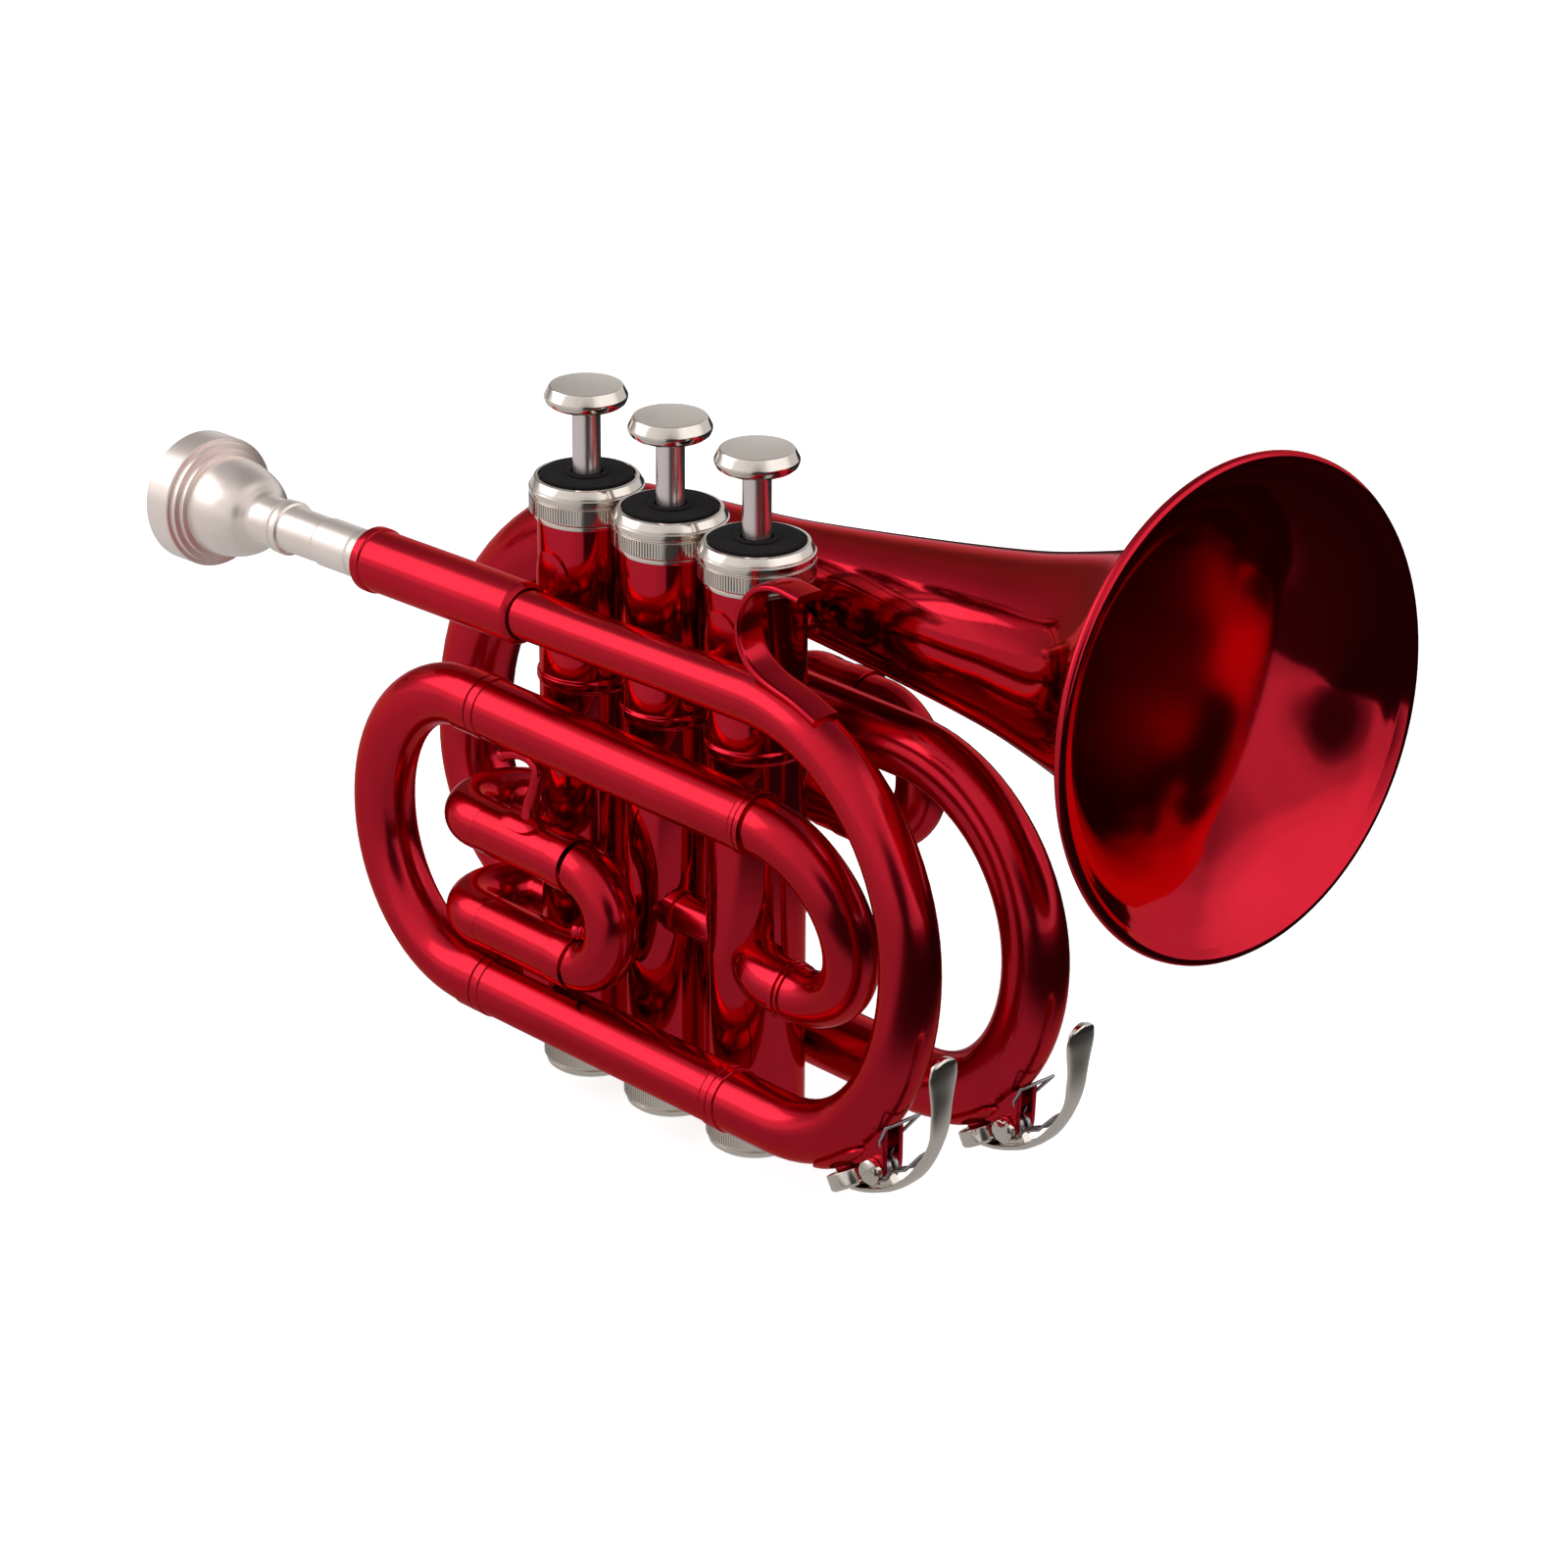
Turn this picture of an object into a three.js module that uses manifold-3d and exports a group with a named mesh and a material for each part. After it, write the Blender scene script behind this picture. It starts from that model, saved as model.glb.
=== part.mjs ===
// A pocket trumpet with three piston valves, in millimetres.
// +X runs forward to the bell, +Y to the player's left and +Z up.
// The origin is the centre of the middle valve's bottom cap face.
import * as THREE from "three";
import { mergeVertices } from "three/addons/utils/BufferGeometryUtils.js";
import Module from "manifold-3d";

const wasm = await Module();
wasm.setup();

// Driving dimensions. Every X, Y and Z is a place in the frame above, and every R a radius.
const GAP = 0.3; // left between two pieces that touch
const TUBE_SIDES = 12;
const ROUND_SIDES = 18;
const BELL_SIDES = 24;
const SMALL_SIDES = 8;
const BEND_FACET = 9; // the length that each facet of a bend aims for
const LEAST_HALF_BEND = 2; // facets in half a bend, at least and at most
const MOST_HALF_BEND = 3;
const WELD = 1e-4;
const REACH = 60; // longer than any cut needs to be

const VALVE = {
  pitch: 24,
  casingR: 9.6,
  boreR: 8.6,
  bottomZ: 7.8,
  topZ: 120.5,
  ringR: 10.1,
  ringLowZ: 83,
  ringHighZ: 84.8,
  chamfer: 0.5,
};
const BOTTOM_CAP = { faceR: 8.5, domeR: 9.57, domeZ: 3, r: 9.6, topZ: 7.5, floorZ: 1.6 };
const BOTTOM_CAP_SPIGOT = { r: 8.3, innerR: 7.3, topZ: 11 };
const TOP_CAP = {
  skirtR: 10.1,
  skirtZ: 116.4,
  knurlR: 11.25,
  knurlLowZ: 117.9,
  knurlHighZ: 121.6,
  grooveR: 10.9,
  grooveZ: 121.9,
  rimLowZ: 122.2,
  rimR: 11.25,
  faceR: 10.3,
  faceZ: 124.6,
  recessR: 9.5,
  webLowZ: 120.8,
  webHighZ: 122.6,
  stemHoleR: 3.3,
};
const CAP_FELT = { r: 9.2, holeR: 3.5, topZ: 125 };
const PISTON = {
  r: 8.3,
  barrelInnerR: 7,
  bottomZ: 22.5,
  barrelLowZ: 84,
  topZ: 118,
  ceilingZ: 116,
  collarR: 5,
  collarZ: 120.4,
  windwayR: 4,
  slotWidth: 4,
  slotHighZ: 107,
};
const STEM = { r: 2.75, topZ: 139.2 };
const BUTTON = {
  holeR: 3.05,
  holeZ: 139.5,
  lowZ: 137.2,
  lowR: 6.4,
  shoulderZ: 139.2,
  r: 8.1,
  widestZ: 140.9,
  bevelZ: 142.1,
  bevelR: 7.6,
  topR: 7.1,
  topZ: 142.73,
};
const GUIDE = { r: 6.6, earR: 8.3, earWidth: 3.4, lowZ: 84.3, highZ: 86.7 };
const SPRING = { r: 5.2, wireR: 0.55, curls: 6, stepsPerCurl: 6, wireSides: 5 };

const LEADPIPE = { y: -18, z: 102, slope: 0.035, r: 4.9, boreR: 4.4, backX: -38, frontX: 26 };
const RECEIVER = {
  backX: -67,
  frontX: -21,
  r: 6.2,
  lipR: 6.6,
  lipLength: 2.4,
  mouthR: 5.7,
  socketEndX: -40.5,
  socketEndR: 5.1,
  noseLength: 1.2,
};
const MOUTHPIECE = {
  endX: -41,
  length: 83.6,
  rimR: 13.5,
  rimWidth: 7.8,
  rimInnerR: 8.4,
  rimFaceR: 11,
  rimRound: 1.1,
};
// Each row is a share of the mouthpiece's length back from its small end, and a radius.
const MOUTHPIECE_OUTER_SHARES = [
  [0, 4.5],
  [0.51, 4.75],
  [0.612, 4.8],
  [0.614, 5.4],
  [0.63, 5.6],
  [0.636, 5.1],
  [0.644, 5.5],
  [0.656, 5.3],
  [0.66, 4.8],
  [0.676, 4.9],
  [0.712, 6.8],
  [0.742, 8.5],
  [0.7775, 9.9],
  [0.825, 10.7],
  [0.879, 10.9],
  [0.8805, 11.9],
  [0.892, 11.9],
  [0.8935, 12.7],
];
const MOUTHPIECE_BORE_SHARES = [
  [0, 3.9],
  [0.45, 2.7],
  [0.68, 1.85],
  [0.715, 1.95],
  [0.745, 4.3],
  [0.8, 6.3],
  [0.87, 7.6],
  [0.95, 8.2],
];

const FRONT_BOW = {
  frontX: 84.6,
  startRunX: 43,
  upperDrop: 43.2,
  lowerRise: 41.8,
  lowerRun: 34.5,
  endX: 34.3,
  ferruleX: 38,
  ferruleR: 6.5,
};
const SLIDE_TUBE = { r: 6.1, boreR: 5.6, backX: -33, ringR: 6.4, ringLength: 2.2 };
const TUNING = {
  y: -18,
  upperZ: 78.6,
  lowerZ: 19.5,
  upperFrontX: 42,
  lowerFrontX: 34,
  bowX: -36.2,
  bowR: 29.55,
  legR: 5.3,
  legFrontX: 2,
  ferruleR: 6.4,
  ferruleBackX: -38.6,
  ferruleFrontX: -33.3,
};
const INNER_BOW = {
  startX: 42.3,
  ferruleX: 45,
  ferruleR: 6.5,
  r: 5.4,
  frontX: 64,
  lowerZ: 41.8,
  lowerY: -9,
  lowerFerruleX: 45.4,
  lowerFerruleR: 6,
  lowerFerruleLength: 2.5,
  elbowX: 35.6,
  elbowBend: 5,
  portHeading: [1, -1, 0],
};
const INTERVALVE = { z: 45, r: 4.7 };

const FIRST_SLIDE = {
  y: -18,
  innerY: -1,
  upperZ: 53.3,
  lowerZ: 32.8,
  r: 5.4,
  boreR: 4.9,
  turnX: -35.4,
  frontX: -12.3,
  ferruleX: -17,
  ferruleR: 5.7,
  legR: 4.6,
  bowR: 5.1,
  bowX: -8.5,
  bend: 10.2,
  legBackX: -32,
};
// The first slide's pull knob stands on the inside of its bow and points back.
const PULL_KNOB = { stemR: 1, collarR: 1.6, collar: 1.2, ballR: 1.7, reach: 7 };
const SECOND_SLIDE = {
  upperZ: 42,
  lowerZ: 30,
  r: 5,
  boreR: 4.5,
  legR: 4.2,
  backY: 9,
  frontY: 19,
  bowY: 24,
  bend: 6,
  legBackY: 11.5,
  ferruleR: 5.3,
};
// Drops are measured down from the bell's own height.
const THIRD_SLIDE = {
  y: 30,
  upperDrop: 23.3,
  lowerDrop: 47.8,
  upperPortDrop: 40.1,
  lowerPortDrop: 52.1,
  r: 5.4,
  boreR: 4.9,
  legR: 4.6,
  tubeBackX: 12,
  frontX: 23.2,
  ferruleX: 18,
  ferruleR: 5.7,
  bowX: 26.2,
  bowFrontX: 38.2,
  bowR: 5.1,
  legBackX: 14,
  elbowX: 2,
  turnY: 30.6,
  turnBend: 8,
  innerY: 22,
  portBend: 6,
  portHeading: [-1, 1.5, 0],
  portX: 20,
  portY: 8,
};
const BELL_SIDE = {
  y: 17.5,
  portDrop: 33.3,
  upperDrop: 22,
  r: 6.2,
  portBend: 8.4,
  riseX: 4,
  riseBend: 10,
  jointX: 12,
  frontX: 81.7,
  lowerZ: 17.5,
  lowerRun: 31,
  lowerR: 6.6,
  ferruleR: 6.6,
  ferruleLength: 3.5,
  backX: -40,
};
const BELL = {
  y: 25,
  z: 107.3,
  anchorX: 15,
  slope: 0.06,
  rimX: 125,
  length: 145,
  wall: 0.8,
  rimR: 47,
  beadR: 1.15,
  beadSides: 6,
  beadTurn: THREE.MathUtils.degToRad(225),
};
// Each row is a share of the bell's length back from the rim, and a share of the rim's radius.
const BELL_SHARES = [
  [0.016, 0.931],
  [0.028, 0.868],
  [0.055, 0.768],
  [0.09, 0.677],
  [0.138, 0.583],
  [0.207, 0.494],
  [0.317, 0.409],
  [0.41, 0.357],
  [0.565, 0.298],
  [0.76, 0.235],
  [0.86, 0.212],
  [1, 0.196],
];
const TAIL_BOW = {
  startX: -20.3,
  r: 9.2,
  upperR: 8,
  lowerR: 7.2,
  rearX: -83.3,
  rearUpperY: 23,
  rearLowerY: 19,
  upperRun: 51,
  upperDropShare: 0.55,
  lowerRiseShare: 0.37,
  lowerRun: 39,
  lowerZ: 17.8,
  endX: -40.3,
  ferruleR: 7,
  ferruleLength: 4,
};

const HOOK = { width: 6.6, thickness: 1.7 };
// Each row is a place on the middle of the hook's strip: X, and how far over the leadpipe's height.
const HOOK_PATH = [
  [62, 3.2],
  [55.6, 5.4],
  [48, 7.2],
  [43.2, 10],
  [41.2, 15],
  [42.4, 20.2],
  [46, 24.2],
  [51, 25.9],
  [57.6, 25.5],
];
const LEADPIPE_BRACE = { postR: 2.4, flangeHeight: 14, flangeWidth: 9.4, flangeZ: 3, flange: 1.1 };
const POST_BRACE = { x: -20, r: 1.6, saddleR: 3.6, flareShare: 0.14 };
const BELL_BRACE = { postR: 2.4, footZ: 101 };

// Water keys: the angle is how far round the bow's lower quarter the cork sits, from the front.
const WATER_KEY = {
  angle: THREE.MathUtils.degToRad(64),
  plateLength: 12,
  plateWidth: 9,
  plate: 1.1,
  nippleR: 2.4,
  nippleBoreR: 1.3,
  nippleTop: 1.8,
  cupR: 4.5,
  cupFloor: 1.1,
  corkR: 3.9,
  cork: 1.4,
  corkGap: 0.1,
  pivotAlong: 10,
  pivotOut: 2.9,
  pivotR: 1.1,
  barrelR: 2,
  earR: 2.2,
  ear: 1.2,
  leverWidth: 6.4,
  thickness: 1.4,
};
// Each row is a place on the middle of the lever: how far along the bow's tangent at the cork and
// how far out from its surface there.
const LEVER_PATH = [
  [0.5, 4.9],
  [3.5, 5.8],
  [8, 6.6],
  [12.5, 6.9],
  [18.2, 5.9],
  [23.5, 3.5],
  [27.6, 0.6],
  [30.6, -3.3],
  [33.2, -8],
  [35.8, -12.2],
];

// Materials, one function each, so that every mesh has its own.
function lacquer() {
  return new THREE.MeshStandardMaterial({ color: 0xb0102a, roughness: 0.22, metalness: 0.9 });
}
function nickel() {
  return new THREE.MeshStandardMaterial({ color: 0xc3b4a8, roughness: 0.2, metalness: 1 });
}
function silver() {
  return new THREE.MeshStandardMaterial({ color: 0xe1d7d0, roughness: 0.12, metalness: 1 });
}
function blackFelt() {
  return new THREE.MeshStandardMaterial({ color: 0x1c1616, roughness: 0.95, metalness: 0 });
}
function monel() {
  return new THREE.MeshStandardMaterial({ color: 0xb9a9a0, roughness: 0.3, metalness: 1 });
}
function springSteel() {
  return new THREE.MeshStandardMaterial({ color: 0x8d8f92, roughness: 0.35, metalness: 1 });
}
function corkPad() {
  return new THREE.MeshStandardMaterial({ color: 0xa87f55, roughness: 0.9, metalness: 0 });
}
function guidePlastic() {
  return new THREE.MeshStandardMaterial({ color: 0xd9d5cb, roughness: 0.55, metalness: 0 });
}

const root = new THREE.Group();
root.name = "pocket_trumpet";

// A closed solid from a three.js geometry, with its faces turned outwards.
function solidOf(geometry) {
  const bare = geometry.clone();
  bare.deleteAttribute("normal");
  bare.deleteAttribute("uv");
  const merged = mergeVertices(bare, WELD);
  const build = (triVerts) =>
    new wasm.Manifold(
      new wasm.Mesh({ numProp: 3, vertProperties: merged.attributes.position.array, triVerts }),
    );
  const corners = Array.from(merged.index.array);
  const solid = build(Uint32Array.from(corners));
  if (solid.volume() > 0) return solid;
  return build(Uint32Array.from(corners.reverse()));
}

// A solid back as a geometry.
function geometryOf(solid) {
  const mesh = solid.getMesh();
  const geometry = new THREE.BufferGeometry();
  geometry.setAttribute("position", new THREE.BufferAttribute(mesh.vertProperties, mesh.numProp));
  geometry.setIndex(new THREE.BufferAttribute(mesh.triVerts, 1));
  return geometry;
}

function joined(...solids) {
  return solids.reduce((all, one) => all.add(one));
}
function cut(solid, ...tools) {
  return tools.reduce((left, tool) => left.subtract(tool), solid);
}

// A named mesh in a parent, from a solid.
function addNode(name, solid, material, parent = root) {
  const flat = geometryOf(solid).toNonIndexed();
  flat.computeVertexNormals();
  const mesh = new THREE.Mesh(flat, material);
  mesh.name = name;
  parent.add(mesh);
  return mesh;
}

// A turned solid about Z from rows of radius and height.
function turned(profile, sides = ROUND_SIDES) {
  const points = profile.map(([r, z]) => new THREE.Vector2(r, z));
  const geometry = new THREE.LatheGeometry(points, sides);
  geometry.rotateX(Math.PI / 2);
  return solidOf(geometry);
}

// A turned sleeve: the outer rows, then the inner rows back, as one closed outline.
function sleeve(outer, inner, sides = ROUND_SIDES) {
  const back = [...inner].reverse();
  return turned([...outer, ...back, outer[0]], sides);
}

// A round rod about Z.
function rod(r, lowZ, highZ, sides = ROUND_SIDES) {
  return turned([[0, lowZ], [r, lowZ], [r, highZ], [0, highZ]], sides);
}

// A matrix that puts Z on the given direction at a place.
function aim(place, direction) {
  const turn = new THREE.Quaternion().setFromUnitVectors(
    new THREE.Vector3(0, 0, 1),
    direction.clone().normalize(),
  );
  return new THREE.Matrix4().compose(place, turn, new THREE.Vector3(1, 1, 1));
}
function moved(solid, matrix) {
  return solid.transform(matrix.elements);
}
function shifted(solid, x, y, z) {
  return solid.translate([x, y, z]);
}

// A path for an extrusion that has one ring on each station. Each ring's radius is its station's.
class StationPath extends THREE.Curve {
  constructor(stations) {
    super();
    this.stations = stations;
  }
  nearest(share) {
    return this.stations[Math.round(share * (this.stations.length - 1))];
  }
  getPoint(share, target = new THREE.Vector3()) {
    return target.copy(this.nearest(share).place);
  }
  getPointAt(share, target = new THREE.Vector3()) {
    return target.copy(this.nearest(share).place);
  }
  getTangentAt(share, target = new THREE.Vector3()) {
    return target.copy(this.nearest(share).heading);
  }
  computeFrenetFrames(segments, closed) {
    const frames = super.computeFrenetFrames(segments, closed);
    this.stations.forEach(({ r }, i) => {
      frames.normals[i].multiplyScalar(r);
      frames.binormals[i].multiplyScalar(r);
    });
    return frames;
  }
}

// The unit polygon that a tube's section is scaled from.
function unitRing(sides, share = 1) {
  return Array.from({ length: sides }, (_, i) => {
    const turn = (2 * Math.PI * i) / sides;
    return new THREE.Vector2(share * Math.cos(turn), share * Math.sin(turn));
  });
}

// Stations along a run of knots. A knot is a place and a radius. One with a bend before and after
// is a corner, rounded by an arc that leaves that much of each leg. Radii blend between knots.
function route(knots) {
  const places = knots.map(({ at }) => new THREE.Vector3(...at));
  const headings = places.slice(1).map((place, i) => place.clone().sub(places[i]));
  headings.forEach((heading, i) => {
    if (heading.length() > WELD) heading.normalize();
    else heading.copy(headings[i - 1]);
  });
  const stations = [];
  knots.forEach(({ r, before, after }, i) => {
    const incoming = headings[Math.max(i - 1, 0)];
    const outgoing = headings[Math.min(i, headings.length - 1)];
    if (!before) {
      const heading = i === knots.length - 1 ? incoming : outgoing;
      stations.push({ place: places[i], heading: heading.clone(), r });
      return;
    }
    stations.push(...corner(places[i], incoming, outgoing, before, after ?? before, r));
  });
  return blended(stations);
}

// The stations of one rounded corner, a conic that is a true arc where both bends are alike.
function corner(place, incoming, outgoing, before, after, r) {
  const turn = incoming.angleTo(outgoing);
  const arc = (turn * (before + after)) / 2;
  const facets = Math.round(arc / BEND_FACET / 2);
  const steps = 2 * THREE.MathUtils.clamp(facets, LEAST_HALF_BEND, MOST_HALF_BEND);
  const weight = Math.cos(turn / 2);
  const start = place.clone().addScaledVector(incoming, -before);
  const end = place.clone().addScaledVector(outgoing, after);
  return Array.from({ length: steps + 1 }, (_, i) => {
    const t = i / steps;
    const shares = [(1 - t) ** 2, 2 * t * (1 - t) * weight, t ** 2];
    const slopes = [2 * t - 2, (2 - 4 * t) * weight, 2 * t];
    const whole = shares[0] + shares[1] + shares[2];
    const wholeSlope = slopes[0] + slopes[1] + slopes[2];
    const sum = new THREE.Vector3();
    const heading = new THREE.Vector3();
    [start, place, end].forEach((point, k) => {
      sum.addScaledVector(point, shares[k]);
      heading.addScaledVector(point, slopes[k]);
    });
    heading.multiplyScalar(whole).addScaledVector(sum, -wholeSlope).normalize();
    return { place: sum.divideScalar(whole), heading, r: 2 * i === steps ? r : null };
  });
}

// Fills the missing radii by the distance between the stations that have one.
function blended(stations) {
  const along = [0];
  stations.slice(1).forEach(({ place }, i) => {
    along.push(along[i] + place.distanceTo(stations[i].place));
  });
  const known = stations.flatMap(({ r }, i) => (r === null ? [] : [i]));
  stations.forEach((station, i) => {
    if (station.r !== null) return;
    const last = known.filter((k) => k < i).pop();
    const next = known.find((k) => k > i);
    const share = (along[i] - along[last]) / (along[next] - along[last]);
    station.r = THREE.MathUtils.lerp(stations[last].r, stations[next].r, share);
  });
  return stations;
}

// A tube or rod along stations. A bore share leaves a hole of that share of the radius.
function swept(stations, boreShare = 0, sides = TUBE_SIDES) {
  const shape = new THREE.Shape(unitRing(sides));
  if (boreShare) shape.holes.push(new THREE.Path(unitRing(sides, boreShare)));
  const path = new StationPath(stations);
  const steps = stations.length - 1;
  return solidOf(new THREE.ExtrudeGeometry(shape, { steps, extrudePath: path }));
}

// The same stations with a wider radius, for cutting a neighbour clear.
function widened(stations, extra = GAP) {
  return stations.map(({ place, heading, r }) => ({ place, heading, r: r + extra }));
}

// A straight sleeve or rod between two X places on an axis along X, with a ferrule at either end.
function straightTube({ y, z, backX, frontX, r, boreR, backRing, frontRing }) {
  const outer = [];
  if (backRing) outer.push([backRing.r, 0], [backRing.r, backRing.length], [r, backRing.length]);
  else outer.push([r, 0]);
  const length = frontX - backX;
  if (frontRing) {
    const ringStart = length - frontRing.length;
    outer.push([r, ringStart], [frontRing.r, ringStart], [frontRing.r, length]);
  } else outer.push([r, length]);
  const tube = sleeve(outer, [[boreR, 0], [boreR, length]], TUBE_SIDES);
  return moved(tube, aim(new THREE.Vector3(backX, y, z), new THREE.Vector3(1, 0, 0)));
}

// A flat outline in X and Z, given thickness along Y and centred on a Y place.
function plateAcrossY(points, width, y) {
  const shape = new THREE.Shape(points.map(([x, z]) => new THREE.Vector2(x, z)));
  const geometry = new THREE.ExtrudeGeometry(shape, { depth: width, bevelEnabled: false });
  geometry.rotateX(Math.PI / 2);
  geometry.translate(0, y + width / 2, 0);
  return solidOf(geometry);
}

// Both sides of a strip of the given thickness along rows of X and Z, as one outline.
function stripOutline(rows, thickness) {
  const curve = new THREE.SplineCurve(rows.map(([x, z]) => new THREE.Vector2(x, z)));
  const count = 2 * (rows.length - 1);
  const sides = [[], []];
  for (let i = 0; i <= count; i += 1) {
    const point = curve.getPoint(i / count);
    const heading = curve.getTangent(i / count);
    [1, -1].forEach((side, k) => {
      const offset = (side * thickness) / 2;
      sides[k].push([point.x - offset * heading.y, point.y + offset * heading.x]);
    });
  }
  return [...sides[0], ...sides[1].reverse()];
}

// Valves
const valveXs = [-VALVE.pitch, 0, VALVE.pitch];

function casingSolid(ports) {
  const { casingR, boreR, bottomZ, topZ, ringR, ringLowZ, ringHighZ, chamfer } = VALVE;
  const shell = sleeve(
    [
      [casingR, bottomZ],
      [casingR, ringLowZ],
      [ringR, ringLowZ + chamfer],
      [ringR, ringHighZ],
      [casingR, ringHighZ + chamfer],
      [casingR, topZ],
    ],
    [
      [boreR, bottomZ],
      [boreR, topZ],
    ],
  );
  return cut(shell, ...ports);
}

// The hole that a tube's bore makes in a casing wall, from the casing's axis outwards.
function portHole(r, z, direction) {
  const axis = new THREE.Vector3(...direction);
  const hole = rod(r, VALVE.boreR / 2, VALVE.casingR + VALVE.boreR, SMALL_SIDES);
  return moved(hole, aim(new THREE.Vector3(0, 0, z), axis));
}

// The round space that a casing and its clearance take, for cutting a neighbour.
function casingSpace(x, extra = GAP) {
  return shifted(rod(VALVE.casingR + extra, 0, VALVE.topZ), x, 0, 0);
}

function topCapSolid() {
  const cap = TOP_CAP;
  return turned([
    [VALVE.casingR + GAP, cap.skirtZ],
    [cap.skirtR, cap.skirtZ],
    [cap.skirtR, cap.knurlLowZ - VALVE.chamfer],
    [cap.knurlR, cap.knurlLowZ],
    [cap.knurlR, cap.knurlHighZ],
    [cap.grooveR, cap.grooveZ],
    [cap.rimR, cap.rimLowZ],
    [cap.faceR, cap.faceZ],
    [cap.recessR, cap.faceZ],
    [cap.recessR, cap.webHighZ],
    [cap.stemHoleR, cap.webHighZ],
    [cap.stemHoleR, cap.webLowZ],
    [VALVE.casingR + GAP, cap.webLowZ],
    [VALVE.casingR + GAP, cap.skirtZ],
  ]);
}

function bottomCapSolid() {
  const cap = BOTTOM_CAP;
  const spigot = BOTTOM_CAP_SPIGOT;
  return turned([
    [0, 0],
    [cap.faceR, 0],
    [cap.domeR, cap.domeZ],
    [cap.r, cap.topZ],
    [spigot.r, cap.topZ],
    [spigot.r, spigot.topZ],
    [spigot.innerR, spigot.topZ],
    [spigot.innerR, cap.floorZ],
    [0, cap.floorZ],
  ]);
}

function capFeltSolid() {
  const lowZ = TOP_CAP.webHighZ + GAP;
  return sleeve(
    [[CAP_FELT.r, lowZ], [CAP_FELT.r, CAP_FELT.topZ]],
    [[CAP_FELT.holeR, lowZ], [CAP_FELT.holeR, CAP_FELT.topZ]],
    ROUND_SIDES,
  );
}

// The piston with its barrel, collar and stem. The spring's room opens through the two slots.
function pistonSolid() {
  const body = turned([
    [0, PISTON.bottomZ],
    [PISTON.r, PISTON.bottomZ],
    [PISTON.r, PISTON.topZ],
    [PISTON.collarR, PISTON.topZ],
    [PISTON.collarR, PISTON.collarZ],
    [STEM.r, PISTON.collarZ],
    [STEM.r, STEM.topZ],
    [0, STEM.topZ],
  ], ROUND_SIDES);
  const room = rod(PISTON.barrelInnerR, PISTON.barrelLowZ, PISTON.ceilingZ, TUBE_SIDES);
  const slotHeight = PISTON.slotHighZ - PISTON.barrelLowZ;
  const slot = new THREE.BoxGeometry(PISTON.slotWidth, 2 * VALVE.casingR, slotHeight);
  slot.translate(0, 0, PISTON.barrelLowZ + slotHeight / 2);
  const bore = rod(PISTON.windwayR, -VALVE.casingR, VALVE.casingR, SMALL_SIDES);
  const windway = moved(
    bore,
    aim(new THREE.Vector3(0, 0, INTERVALVE.z), new THREE.Vector3(1, 0, 0)),
  );
  return cut(body, room, solidOf(slot), windway);
}

function guideSolid() {
  const height = GUIDE.highZ - GUIDE.lowZ;
  const bar = new THREE.BoxGeometry(GUIDE.earWidth, 2 * GUIDE.earR, height);
  bar.translate(0, 0, GUIDE.lowZ + height / 2);
  return joined(rod(GUIDE.r, GUIDE.lowZ, GUIDE.highZ, TUBE_SIDES), solidOf(bar));
}

function buttonSolid() {
  const b = BUTTON;
  return turned([
    [0, b.holeZ],
    [b.holeR, b.holeZ],
    [b.holeR, b.lowZ],
    [b.lowR, b.lowZ],
    [b.r, b.shoulderZ],
    [b.r, b.widestZ],
    [b.bevelR, b.bevelZ],
    [b.topR, b.topZ],
    [0, b.topZ],
  ]);
}

// The spring stands on the guide and holds the barrel's ceiling up.
const springLowZ = GUIDE.highZ + GAP;
const springHighZ = PISTON.ceilingZ - GAP;
function springStations() {
  const count = SPRING.curls * SPRING.stepsPerCurl;
  const lowZ = springLowZ + SPRING.wireR;
  const rise = springHighZ - SPRING.wireR - lowZ;
  const turn = (2 * Math.PI) / SPRING.stepsPerCurl;
  const lead = rise / (count * turn);
  return Array.from({ length: count + 1 }, (_, i) => {
    const [c, s] = [Math.cos(i * turn), Math.sin(i * turn)];
    return {
      place: new THREE.Vector3(SPRING.r * c, SPRING.r * s, lowZ + (rise * i) / count),
      heading: new THREE.Vector3(-SPRING.r * s, SPRING.r * c, lead).normalize(),
      r: SPRING.wireR,
    };
  });
}

// The least distance between the surfaces of two curls that are at least half a turn apart.
function leastCurlGap(stations) {
  let least = Infinity;
  stations.forEach((one, i) => {
    stations.slice(i + SPRING.stepsPerCurl / 2).forEach((other) => {
      least = Math.min(least, one.place.distanceTo(other.place) - one.r - other.r);
    });
  });
  return least;
}

// Heights that follow the bell's and the leadpipe's
const bellSideUpperZ = BELL.z - BELL_SIDE.upperDrop;
const bellSidePortZ = BELL.z - BELL_SIDE.portDrop;
const bellSideBend = (bellSideUpperZ - BELL_SIDE.lowerZ) / 2;
const thirdSlideUpperZ = BELL.z - THIRD_SLIDE.upperDrop;
const thirdSlideLowerZ = BELL.z - THIRD_SLIDE.lowerDrop;
const thirdPortUpperZ = BELL.z - THIRD_SLIDE.upperPortDrop;
const thirdPortLowerZ = BELL.z - THIRD_SLIDE.lowerPortDrop;

// Slide and tube routes
const knot = (x, y, z, r) => ({ at: [x, y, z], r });
const bendKnot = (x, y, z, r, before, after) => ({ at: [x, y, z], r, before, after });
const leadpipeZ = (x) => LEADPIPE.z + LEADPIPE.slope * x;
const bellZ = (x) => BELL.z + BELL.slope * (x - BELL.anchorX);

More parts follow.
